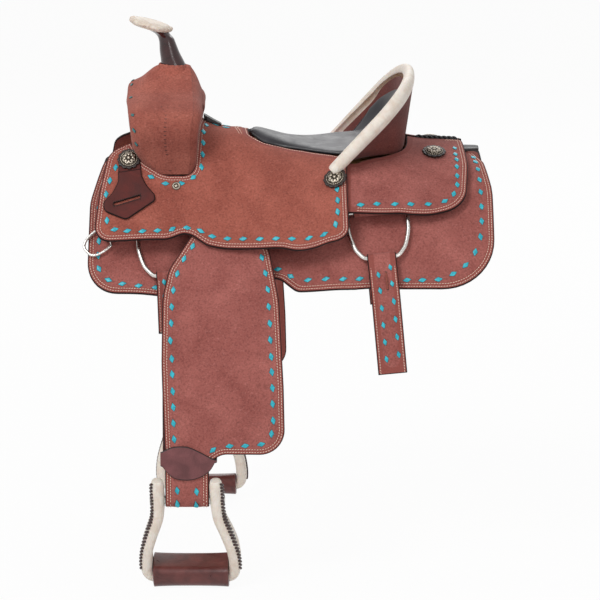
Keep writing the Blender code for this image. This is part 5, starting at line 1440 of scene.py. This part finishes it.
def rosette():
    """Scalloped leather disc, lofted from its edge profile."""
    profile = [(0.0160, 0.0, 0.0), (ROSETTE_R - 0.0004, 0.0, 0.0), (ROSETTE_R, 0.0008, 0.0),
               (ROSETTE_R, 0.0020, 0.0), (ROSETTE_R - 0.0006, 0.0027, 0.002),
               (ROSETTE_R - 0.0018, 0.0030, 0.01), (0.0165, 0.0027, 0.01), (0.0150, 0.0026, 0.01)]
    rings, rim = [], []
    for radius, z, value in profile:
        ring = []
        for k in range(120):
            a = 2 * math.pi * k / 120
            scallop = 0.0022 * (1 - abs(math.cos(6 * a)) ** 0.7)
            r = radius - scallop * min(1.0, max(0.0, (radius - 0.0150) / 0.003))
            ring.append(Vector((r * math.cos(a), r * math.sin(a), z)))
        rings.append(ring)
        rim.append([value] * 120)
    return loft(rings, rim=rim)


def concho_height(r, a):
    """Relief of the silver dome: a beaded rim, a ring of leaves and an eight-petalled flower."""
    q = r / CONCHO_R
    dome = 0.0030 + 0.0030 * (1 - q * q)
    if q > 0.84:
        relief = 0.0009 * abs(math.cos(14 * a)) * math.exp(-((q - 0.92) / 0.05) ** 2)
        tone = 0.15 + 0.8 * abs(math.cos(14 * a)) * math.exp(-((q - 0.92) / 0.06) ** 2)
    elif q > 0.22:
        petal = abs(math.cos(4 * a)) ** 0.6
        shape = math.exp(-((q - 0.50) / 0.17) ** 2)
        leaf = abs(math.sin(4 * a)) ** 2 * math.exp(-((q - 0.70) / 0.07) ** 2)
        relief = 0.0011 * petal * shape + 0.0008 * leaf
        tone = min(1.0, 0.08 + 0.95 * petal * shape + 0.8 * leaf)
    else:
        relief = 0.0012 * math.cos(q / 0.22 * math.pi / 2) + 0.0002
        tone = 0.4 + 0.6 * math.cos(q / 0.22 * math.pi / 2)
    return dome + relief, tone


def ferrule_height(r, a):
    """Relief of a string ferrule: a round rib about a small hollow."""
    q = r / FERRULE_R
    if q < 0.30:
        return 0.0012, 0.9
    rib = math.exp(-((q - 0.72) / 0.20) ** 2)
    return 0.0008 + 0.0016 * rib, 0.25 + 0.7 * math.exp(-((q - 0.75) / 0.2) ** 2)


def dress_conchos(side_name, side):
    for place, drape, x, s, lift in CONCHO_PLACES:
        node = f"{place}_concho_{side_name}"
        matrix = seat_matrix(drape, x, s, side, lift)
        verts, faces, rim = rosette()
        piece(f"{place}_rosette_{side_name}", Soup().add([matrix @ v for v in verts], faces, rim),
              ROSETTE_LEATHER, node, [node], smooth=35)
        dome = medal(matrix, CONCHO_R, 26, 112, concho_height, 0.0021, 0.05)
        piece(f"{place}_silver_{side_name}", Soup().add(*dome), SILVER, node, smooth=55)
    node = "string_ferrule_" + side_name
    matrix = seat_matrix(SEAT, -0.193, 0.181, side, 0.0005)
    ring = medal(matrix, FERRULE_R, 12, 40, ferrule_height, 0.0, 0.1)
    piece("string_ring_" + side_name, Soup().add(*ring), SILVER, node, [node])


# Dees, rigging straps and billets

class Flat:
    """Flat frame on a draped surface: u along the dee's bar, w down, n outwards."""

    def __init__(self, drape, x, s_top, s_bottom, spin, side, lift):
        top = drape.point(x, s_top, 0, side)
        low = drape.point(x, s_bottom, 0, side)
        down = (low - top).normalized()
        ahead = drape.point(x + 0.03, s_top, 0, side) - drape.point(x - 0.03, s_top, 0, side)
        ahead = (ahead - down * ahead.dot(down)).normalized()
        n = ahead.cross(down)
        if n.z < 0:
            n = -n
        self.u = ahead * math.cos(spin) - down * math.sin(spin)
        self.w = ahead * math.sin(spin) + down * math.cos(spin)
        self.n = n.normalized()
        self.origin = top + self.n * lift

    def at(self, u, w, n=0.0):
        return self.origin + self.u * u + self.w * w + self.n * n


def dress_dee(node, frame_at, half, height, flat, radius):
    """Steel wire bent to a D, half wide to each side and flat over its far end."""
    corners = [(-half, 0, 0.006), (-half * 1.02, height * 0.45, 0.08), (-half * 0.84, height * 0.81, 0.04),
               (-flat, height, 0.012), (flat, height, 0.012), (half * 0.84, height * 0.81, 0.04),
               (half * 1.02, height * 0.45, 0.08), (half, 0, 0.006)]
    loop = rounded_outline(corners, 0.006, 8)
    path = [frame_at.at(p.x, p.y) for p in loop]
    piece(node + "_wire", Soup().add(*tube(path, radius - DEE_TRIM, 16, closed=True)), STEEL,
          node, [node], smooth=80)


class Fold:
    """A strap folded round a bar: place(u, run, lift) on its front layer, run counted from the fold."""

    def __init__(self, flat, eye_w, eye_r, tail, half_gap, drop=0.0, bend=None):
        self.flat = flat
        sign = 1 if tail > 0 else -1
        length = abs(tail)
        line = [(0.0, 0.0), (0.012, drop * 0.5), (0.024, drop), (length, drop)]
        if bend:
            start, angle, radius = bend
            line = [(0.0, 0.0), (start * 0.5, 0.0), (start, 0.0)]
            line += [(start + radius * math.sin(angle * k / 8), -radius * (1 - math.cos(angle * k / 8)))
                     for k in range(1, 9)]
            w, n = line[-1]
            rest = length - start - radius * angle
            line += [(w + rest * math.cos(angle) * k / 6, n - rest * math.sin(angle) * k / 6)
                     for k in range(1, 7)]
        self.middle = [Vector((eye_w + sign * w, n)) for w, n in line]
        self.front = self.offset(half_gap)
        a0 = math.asin(min(0.95, half_gap / eye_r))
        arc = []
        for k in range(1, 14):
            a = a0 + (2 * math.pi - 2 * a0) * k / 14
            arc.append(Vector((eye_w + sign * eye_r * math.cos(a), eye_r * math.sin(a))))
        skip = eye_r * math.cos(a0) + 0.002
        front, back = ([p for p in layer if (p - self.middle[0]).length > skip]
                       for layer in (self.front, self.offset(-half_gap)))
        self.path = front[::-1] + arc + back

    def offset(self, amount):
        return [p + upper_normal(t) * amount for p, t in zip(self.middle, directions(self.middle))]

    def place(self, u, run, lift):
        """Front face, run down from the bar's centre."""
        left = run
        for a, b in zip(self.front, self.front[1:]):
            d = b - a
            if left <= d.length or b is self.front[-1]:
                t = d.normalized()
                p = a + t * left + upper_normal(t) * lift
                return self.flat.at(u, p.x, p.y)
            left -= d.length

    def mesh(self, half_w, thick):
        """One leather strip along the whole fold, its rim value the distance from its long edge."""
        across = [0.0, 0.0007, 0.0016, ROW_1 * 0.9, 0.0075]
        across = [a for a in across if a < half_w * 0.8]
        us = [-half_w + a for a in across] + [0.0] + [half_w - a for a in reversed(across)]
        path = [p for p, _ in even(curve(self.path, len(self.path) * 5), 0.0035)]
        rings, rims = [], []
        for k, (p, t) in enumerate(zip(path, directions(path))):
            normal = Vector((-t.y, t.x))
            end = min(k, len(path) - 1 - k) * 0.0035
            ring, rim = [], []
            for sign in (1, -1):
                for u in (us if sign > 0 else reversed(us)):
                    d = min(half_w - abs(u), 1.0)
                    bevel = 0.0009 * max(0.0, 1 - d / 0.0016) ** 2
                    q = p + normal * sign * (thick / 2 - bevel)
                    ring.append(self.flat.at(u, q.x, q.y))
                    rim.append(min(d, end + 0.0002))
            rings.append(ring)
            rims.append(rim)
        return loft(rings, rim=rims)


def dress_strap(node, fold, half_w, thick, mat=ROUGHOUT_SKIRT, stitch_run=None, diamond_columns=()):
    """A folded strap with a stitch row near each long edge and columns (u, runs) of lace diamonds."""
    piece(node + "_leather", Soup().add(*fold.mesh(half_w, thick)), mat, node, [node])
    if stitch_run:
        threads = Soup()
        for u in (ROW_1 - half_w, half_w - ROW_1):
            sew(threads, fold.place, [Vector((u, run)) for run in stitch_run], thick / 2 + STITCH_LIFT)
        piece(node + "_stitching", threads, THREAD, node)
    if diamond_columns:
        laces = Soup()
        for u, runs in diamond_columns:
            spots = [(Vector((u, run)), Vector((0, 1))) for run in runs]
            diamonds(laces, fold.place, spots, thick / 2, length=0.0140, width=0.0080, skew=0.0012)
        piece(node + "_diamonds", laces, TURQUOISE, node)


def dress_thong(node, fold, thick, run):
    """A thong between two punched holes in a strap, centred at a run."""
    across, half = 0.0045, 0.0145
    turns = [2 * math.pi * k / 16 for k in range(16)]
    circle = [(0.0022 * math.cos(a), 0.0027 * math.sin(a)) for a in turns]
    # The punched holes are black discs on the strap's face: painted shade standing in for open holes.
    dark = Soup()
    for middle in (run - half, run + half):
        rings = [[fold.place(across + x * share, middle + y * share, thick / 2 + lift) for x, y in circle]
                 for share, lift in ((1, -0.0004), (1, 0.0003), (0.5, 0.0002))]
        dark.add(*loft(rings))
    thong = [fold.place(across, run + y, thick / 2 + h) for y, h in
             ((-half, 0.0002), (-0.008, 0.0012), (0.0, 0.0016), (0.008, 0.0012), (half, 0.0002))]
    piece(node + "_holes", dark, BLACK_LEATHER, node)
    piece(node + "_thong", Soup().add(*tube(curve(thong, 14), 0.0017, 8, squash=1.3)), ROUGHOUT_PLAIN,
          node)


def dress_rigging(side_name, side):
    rear = Flat(SKIRT, side=side, lift=DEE_LIFT, **REAR_DEE)
    front = Flat(SKIRT, side=side, lift=DEE_LIFT, **FRONT_DEE)
    breast = Flat(SKIRT, side=side, lift=BREAST_DEE_LIFT, **BREAST_DEE)
    wrap = DEE_R + 0.0022
    for name, flat, tail, half_w in (("rear", rear, -0.036, 0.0400), ("front", front, -0.026, 0.038)):
        fold = Fold(flat, 0, wrap, tail, 0.0023, drop=-0.003)
        dress_strap(f"{name}_rigging_strap_{side_name}", fold, half_w, 0.0036)
    dress_dee("rear_dee_" + side_name, rear, 0.0500, REAR_DEE_H, 0.029, DEE_R)
    dress_dee("front_dee_" + side_name, front, 0.0525, FRONT_DEE_H, 0.029, DEE_R)
    dress_strap("breast_dee_tab_" + side_name, Fold(breast, 0, 0.0042, -0.022, 0.0013, drop=-0.002), 0.0100,
                0.0022, mat=STRAP_LEATHER)
    dress_dee("breast_dee_" + side_name, breast, 0.0195, 0.041, 0.009, 0.0025)
    hang = (0.062, 0.85 * rear.w.angle(Vector((0, 0, -1))), 0.045)
    fold = Fold(rear, REAR_DEE_H, DEE_R + 0.0020, REAR_BILLET_L, 0.0020, bend=hang)
    columns = ((-0.0085, [0.0045 + 0.0288 * k for k in range(7)]),
               (0.0125, [0.0215 + 0.0300 * k for k in range(6)]))
    dress_strap("rear_billet_" + side_name, fold, BILLET_W / 2, 0.0036,
                stitch_run=(0.002, REAR_BILLET_L - 0.002), diamond_columns=columns)
    dress_thong("rear_billet_" + side_name, fold, 0.0036, 0.0455)
    front.origin = front.at(0, FRONT_DEE_H)
    front.w, front.n = (front.w * math.cos(FRONT_BILLET_TILT) - front.n * math.sin(FRONT_BILLET_TILT),
                        front.n * math.cos(FRONT_BILLET_TILT) + front.w * math.sin(FRONT_BILLET_TILT))
    fold = Fold(front, 0, DEE_R + 0.0020, FRONT_BILLET_L, 0.0020)
    columns = ((-0.0115, [0.012 + 0.025 * k for k in range(4)]),
               (0.0115, [0.006 + 0.025 * k for k in range(4)]))
    dress_strap("front_billet_" + side_name, fold, BILLET_W / 2, 0.0036,
                stitch_run=(0.002, FRONT_BILLET_L - 0.002), diamond_columns=columns)


def dress_keeper():
    slot = rounded_outline(KEEPER_SLOT, 0.004, 30)
    outline = rounded_outline(KEEPER_OUTLINE, 0.003, 10)
    place = on(SEAT, -1)
    soup = Soup().add(*panel(place, [outline, slot], 0.0007, 0.0047, 0.0045, rings=(0.0007, 0.0016, 0.004),
                             edge=0.0010, clear=0.005))
    piece("latigo_keeper_leather", soup, DARK_LEATHER, "latigo_keeper", ["latigo_keeper"])
    threads = Soup()
    for shift in (-0.0016, 0.0072):
        line = [Vector((-0.2985, 0.2025 + shift)), Vector((-0.2540, 0.1946 + shift))]
        sew(threads, place, line, 0.0048, pitch=0.0036, length=0.0030, width=0.0012, height=0.0010, twist=50)
    piece("latigo_keeper_pinking", threads, LACE_DARK, "latigo_keeper")
    neck = rounded_outline([(-0.2920, 0.1160, 0.006), (-0.2930, 0.1450, 0.001), (-0.2530, 0.1450, 0.001),
                            (-0.2570, 0.1160, 0.006)], 0.003, 10)
    soup = Soup().add(*panel(place, [neck], 0.0002, 0.0012, 0.0045, rings=RINGS[:2], edge=0.0004, clear=0.004))
    piece("latigo_keeper_neck", soup, DARK_LEATHER, "seat_leather")


# Fender, hobble strap and stirrup

def fender_slope(run):
    return FENDER_SLOPE + min(max(run - FENDER_STRAIGHT, 0) / FENDER_BEND_R, FENDER_BEND)


def fender_path(run):
    """Sideways place, height and slope of the fender's back face at a run below the pivot."""
    l, z = FENDER_PIVOT[1], FENDER_PIVOT[2]
    straight = min(run, FENDER_STRAIGHT)
    l += straight * math.cos(FENDER_SLOPE)
    z -= straight * math.sin(FENDER_SLOPE)
    if run > FENDER_STRAIGHT:
        end = FENDER_SLOPE + FENDER_BEND
        now = fender_slope(run)
        l += FENDER_BEND_R * (math.sin(now) - math.sin(FENDER_SLOPE))
        z -= FENDER_BEND_R * (math.cos(FENDER_SLOPE) - math.cos(now))
        rest = run - FENDER_STRAIGHT - FENDER_BEND_R * FENDER_BEND
        if rest > 0:
            l += rest * math.cos(end)
            z -= rest * math.sin(end)
    return l, z, fender_slope(run)


def on_fender(side):
    """Placing on the fender's back face: u along X, v down from the pivot."""
    def place(u, v, lift):
        l, z, slope = fender_path(v)
        return Vector((FENDER_X + u, side * (l + lift * math.sin(slope)), z + lift * math.cos(slope)))
    return place


def bolt_centre(side):
    """Centre of the stirrup's bolt, where the neck wraps it."""
    l, z, slope = fender_path(BOLT_RUN)
    return Vector((NECK_X, side * (l - LOOP_R * math.sin(slope)), z - LOOP_R * math.cos(slope)))


def loop_place(side):
    """Past the bolt's level the neck wraps it and runs back up."""
    centre = bolt_centre(side)
    slope = fender_slope(BOLT_RUN)
    half_turn = math.pi * LOOP_R

    def place(u, v, lift):
        if v <= BOLT_RUN:
            return on_fender(side)(u, v, lift)
        past = v - BOLT_RUN
        a = min(past / half_turn, 1.0) * math.pi
        r = LOOP_R + lift
        out, down = math.cos(a) * r, math.sin(a) * r
        if past > half_turn:
            down -= past - half_turn
        l = abs(centre.y) + out * math.sin(slope) + down * math.cos(slope)
        z = centre.z + out * math.cos(slope) - down * math.sin(slope)
        return Vector((FENDER_X + u, side * l, z))
    return place


def dress_fender(side_name, side):
    end = BOLT_RUN + math.pi * LOOP_R + 0.022
    corners = FENDER_FRONT_EDGE + [(-0.0745, end, 0), (-0.001, end, 0)] + FENDER_REAR_EDGE
    loop = rounded_outline(corners, 0.005)
    place = loop_place(side)
    node = "fender_" + side_name
    soup = Soup().add(*panel(place, [loop], 0.0, FENDER_T, 0.0085))
    piece("fender_leather_" + side_name, soup, ROUGHOUT_SKIRT, node, [node])

    def shown(p):
        return 0.050 < p.y < end - 0.03
    trim("fender", side_name, side, place, loop, FENDER_T, FENDER_MARKS, shown)
    laces = Soup()
    neck = ((-0.0543, 0.5124), (-0.0218, 0.5141), (-0.0542, 0.5350), (-0.0226, 0.5370))
    diamonds(laces, place, [(Vector(spot), Vector((0, 1))) for spot in neck], FENDER_T, -side)
    piece("neck_diamonds_" + side_name, laces, TURQUOISE, node)
    loop = rounded_outline(STIRRUP_LEATHER_OUTLINE, 0.006)
    node = "stirrup_leather_" + side_name
    piece("stirrup_leather_strap_" + side_name,
          Soup().add(*panel(on_fender(side), [loop], -0.0050, -0.0006, 0.012, edge=0.0008)), STRAP_LEATHER,
          node, [node])
    dress_hobble(side_name, side)


def dress_hobble(side_name, side):
    """Broad dark strap wrapped round leather and neck above the stirrup."""
    place = on_fender(side)
    upper = [(-0.0800, 0.446), (-0.060, 0.438), (-0.0375, 0.4375), (-0.015, 0.446), (0.000, 0.455),
             (0.0095, 0.459)]
    lower = [(-0.0800, 0.470), (-0.062, 0.490), (-0.0375, 0.4945), (-0.018, 0.490), (0.000, 0.479),
             (0.0095, 0.464)]
    count = 44
    top = curve([(u, v, 0) for u, v in upper], count)
    low = curve([(u, v, 0) for u, v in lower], count)
    ts = [0, 0.02, 0.06, 0.2, 0.35, 0.5, 0.65, 0.8, 0.94, 0.98, 1]
    front_in, front_out = FENDER_T + 0.0005, FENDER_T + 0.0040
    back_in, back_out = -0.0062, -0.0097
    rings, rims = [], []

    def ring(u, v0, v1, outer, inner, x):
        """One ring round the strap; its outer face reaches x where the strap turns round the edge."""
        pts, rim = [], []
        for t in ts:
            d = min(t, 1 - t) * (v1 - v0)
            bevel = 0.0010 * max(0.0, 1 - d / 0.0016) ** 2
            pts.append(place(u, v0 + (v1 - v0) * t, outer - math.copysign(bevel, outer)))
            rim.append(d)
        for t in reversed(ts):
            pts.append(place(u, v0 + (v1 - v0) * t, inner))
            rim.append(min(t, 1 - t) * (v1 - v0))
        if x is not None:
            pts = [Vector((FENDER_X + (x if k < len(ts) else u), p.y, p.z)) for k, p in enumerate(pts)]
        rings.append(pts)
        rims.append(rim)
    turned = {0: -0.0820, count: 0.0125}
    for k in range(count + 1):
        ring((top[k].x + low[k].x) / 2, top[k].y, low[k].y, front_out, front_in, turned.get(k))
    for k in range(count, -1, -1):
        ring((top[k].x + low[k].x) / 2, max(top[k].y, 0.4545), min(low[k].y, 0.482), back_out, back_in,
             turned.get(k))
    node = "hobble_strap_" + side_name
    soup = Soup().add(*loft(rings, closed_path=True, rim=rims))
    piece("hobble_strap_leather_" + side_name, soup, HOBBLE_LEATHER, node, [node], smooth=50)


def stirrup_frame(side):
    """Placing on the hanging stirrup: u along X, w down from the bolt, q outwards."""
    centre = bolt_centre(side)
    down = Vector((0, -side * math.sin(STIRRUP_TILT), -math.cos(STIRRUP_TILT)))
    out = Vector((0, side * math.cos(STIRRUP_TILT), -math.sin(STIRRUP_TILT)))

    def place(u, w, q):
        return centre + Vector((u + STIRRUP_SHEAR * w, 0, 0)) + down * w + out * q
    return place


def stirrup_sections():
    """Along the bent frame: (place, direction across it, depth, thickness)."""
    half = [(0.0490, -0.037), (0.0492, -0.015), (0.0495, 0.006), (0.0525, 0.032), (0.0635, 0.062),
            (0.0722, 0.090), (0.0750, 0.116), (0.0722, 0.1325), (0.0635, 0.1405), (0.0450, FRAME_BAR_W),
            (0.0150, FRAME_BAR_W)]
    path = curve([(-u, w) for u, w in half] + [(u, w) for u, w in reversed(half)], 150)
    sections = []
    for k, (p, t) in enumerate(zip(path, directions(path))):
        climb = min(1.0, max(0.0, (p.y + 0.037) / 0.12))
        bottom = min(1.0, max(0.0, (0.073 - abs(p.x)) / 0.008)) if p.y > 0.11 else 0.0
        depth = 0.0234 + 0.0316 * climb ** 1.3
        thick = 0.0232 - 0.0040 * climb - 0.0062 * bottom
        end = min(k, len(path) - 1 - k)
        if end < 6:
            round_off = math.sqrt(1 - (1 - end / 6) ** 2 * 0.75)
            depth, thick = depth * (0.55 + 0.45 * round_off), thick * (0.35 + 0.65 * round_off)
        sections.append((p, Vector((t.y, -t.x)), depth, thick))
    return sections


def dress_whip_lacing(side_name, place, sections):
    """Lacing over the outer edge of both arms of the stirrup."""
    hook = ((50, -0.0046, 0), (68, -0.0026, 0), (84, -0.0004, 0), (90, 0.0020, 0.002), (90, 0.0044, 0.006))
    laces = Soup()
    for sign in (-1, 1):
        arm = [s for s in sections if s[0].x * sign > 0.03 and -0.032 < s[0].y < 0.122]
        line = [Vector((s[0].x, s[0].y)) for s in arm]
        for spot, _ in even(line, 0.0060):
            _, across, depth, thick = arm[min(range(len(arm)), key=lambda q: (line[q] - spot).length)]
            outward = across if across.x * sign > 0 else -across
            tangent = upper_normal(outward)
            r = min(depth, thick) * 0.46
            stitch = []
            for angle, slide, deep in hook:
                a = math.radians(angle)
                c = thick / 2 - r + (r + 0.0006) * math.sin(a)
                q = depth / 2 - r + (r + 0.0006) * math.cos(a) - deep
                base = spot + outward * c + tangent * slide
                stitch.append(place(base.x, base.y, q))
            laces.add(*tube(curve(stitch, 8), 0.0022, 7))
    piece("stirrup_whip_lacing_" + side_name, laces, LACE_DARK, "stirrup_frame_" + side_name)


def dress_tread(side_name, place):
    """Leather wrap of the tread, rounded over at its ends."""
    rings = []
    for t in [-1, -0.995, -0.98, -0.95] + [-0.9 + 0.1 * k for k in range(19)] + [0.95, 0.98, 0.995, 1]:
        shrink = 0.0022 * max(0.0, 1 - (1 - abs(t)) / 0.02) ** 2
        flare = 0.0006 * abs(t) ** 6 - 0.0010 * (1 - t * t)
        depth, thick = TREAD_DEPTH - 2 * shrink + flare, TREAD_THICK - 2 * shrink + 2 * flare
        section = round_section(depth, thick, 0.0165, 9)
        rings.append([place((TREAD_HALF_W + 0.0040) * t, TREAD_W + c, q) for q, c in section])
    node = "stirrup_tread_" + side_name
    piece("tread_wrap_" + side_name, Soup().add(*loft(rings)), TREAD_LEATHER, node, [node],
          smooth=50)


def dress_stirrup(side_name, side):
    place = stirrup_frame(side)
    sections = stirrup_sections()
    rings = []
    for p, across, depth, thick in sections:
        outline = round_section(depth, thick, min(depth, thick) * 0.46, 6)
        rings.append([place(p.x + across.x * c, p.y + across.y * c, q) for q, c in outline])
    node = "stirrup_frame_" + side_name
    piece("stirrup_rawhide_" + side_name, Soup().add(*loft(rings)), RAWHIDE, node, [node],
          smooth=60)
    dress_whip_lacing(side_name, place, sections)
    dress_tread(side_name, place)


# Carried CAD nodes get their materials

def dress_carried():
    for name, mat in (("fork", ROUGHOUT_DARK), ("bar", TREE), ("cantle_board", TREE), ("ground_seat", TREE),
                      ("stirrup_bolt", STEEL)):
        for node, obj in frame["nodes"].items():
            if node in (name, name + "_left", name + "_right"):
                if not obj.material_slots:
                    obj.data.materials.append(mat)
                for slot in obj.material_slots:
                    slot.material = mat


# Camera, floor and light

def set_camera():
    data = bpy.data.cameras.new("camera")
    data.sensor_width = SENSOR_WIDTH
    data.lens = CAMERA_DISTANCE / METRES_PER_PIXEL / IMAGE_WIDTH * SENSOR_WIDTH
    camera = bpy.data.objects.new("camera", data)
    away = Vector((0, -CAMERA_DISTANCE * math.cos(CAMERA_LIFT), CAMERA_DISTANCE * math.sin(CAMERA_LIFT)))
    camera.location = CAMERA_TARGET + away
    camera.rotation_euler = (math.pi / 2 - CAMERA_LIFT, 0, 0)
    bpy.context.scene.collection.objects.link(camera)
    bpy.context.scene.camera = camera


def mix_by_ray(tree, output_kind, dim, bright, share):
    """Light meets the dim shader; the camera, reflections and glass see a share of the bright one."""
    nodes, links = tree.nodes, tree.links
    path = nodes.new("ShaderNodeLightPath")
    fac = path.outputs["Is Camera Ray"]
    for kind in ("Is Glossy Ray", "Is Transmission Ray"):
        either = nodes.new("ShaderNodeMath")
        either.operation = "MAXIMUM"
        links.new(fac, either.inputs[0])
        links.new(path.outputs[kind], either.inputs[1])
        fac = either.outputs[0]
    part = nodes.new("ShaderNodeMath")
    part.operation = "MULTIPLY"
    part.inputs[1].default_value = share
    mix = nodes.new("ShaderNodeMixShader")
    links.new(fac, part.inputs[0])
    links.new(part.outputs[0], mix.inputs["Fac"])
    links.new(dim.outputs[0], mix.inputs[1])
    links.new(bright.outputs[0], mix.inputs[2])
    links.new(mix.outputs[0], nodes.new(output_kind).inputs["Surface"])


def set_floor():
    z, far = cad_box[0].z - 0.001, FLOOR_HALF
    mesh = bpy.data.meshes.new("floor")
    mesh.from_pydata([(-far, -far, z), (far, -far, z), (far, far, z), (-far, far, z)], [], [(0, 1, 2, 3)])
    floor = bpy.data.objects.new("floor", mesh)
    bpy.context.scene.collection.objects.link(floor)
    mat = bpy.data.materials.new("floor")
    mat.use_nodes = True
    nodes = mat.node_tree.nodes
    nodes.clear()
    diffuse = nodes.new("ShaderNodeBsdfDiffuse")
    diffuse.inputs["Color"].default_value = (0.9, 0.9, 0.9, 1)
    glow = nodes.new("ShaderNodeEmission")
    glow.inputs["Strength"].default_value = 1.0
    mix_by_ray(mat.node_tree, "ShaderNodeOutputMaterial", diffuse, glow, FLOOR_SHARE)
    mesh.materials.append(mat)


def set_world():
    world = bpy.data.worlds.new("studio")
    bpy.context.scene.world = world
    world.use_nodes = True
    nodes = world.node_tree.nodes
    nodes.clear()
    # The backdrop keeps the shader's own pale grey
    backdrop = nodes.new("ShaderNodeBackground")
    backdrop.inputs["Strength"].default_value = 1.0
    dim = nodes.new("ShaderNodeBackground")
    dim.inputs["Color"].default_value = (1.0, 0.985, 0.97, 1)
    dim.inputs["Strength"].default_value = WORLD_LIGHT
    mix_by_ray(world.node_tree, "ShaderNodeOutputWorld", dim, backdrop, 1.0)


def set_lamps():
    for name, place, power, size in LAMPS:
        data = bpy.data.lights.new(name, "AREA")
        data.energy = power
        data.size = size
        lamp = bpy.data.objects.new(name, data)
        lamp.location = place
        aim = Vector((0.0, 0.0, -0.15)) - Vector(place)
        lamp.rotation_mode = "QUATERNION"
        lamp.rotation_quaternion = aim.to_track_quat("-Z", "Y")
        bpy.context.scene.collection.objects.link(lamp)


def set_stage():
    set_camera()
    set_floor()
    set_world()
    set_lamps()
    bpy.context.scene.view_settings.view_transform = "Standard"


def main():
    set_stage()
    dress_carried()
    for side_name, side in SIDES:
        dress_skirts(side_name, side)
        dress_rear_jockey(side_name, side)
        dress_rigging(side_name, side)
        dress_fender(side_name, side)
        dress_stirrup(side_name, side)
        dress_conchos(side_name, side)
    dress_seat_leather()
    dress_seat_pad()
    dress_cantle()
    dress_fork()
    dress_horn()
    dress_rear_ties()
    dress_keeper()


main()
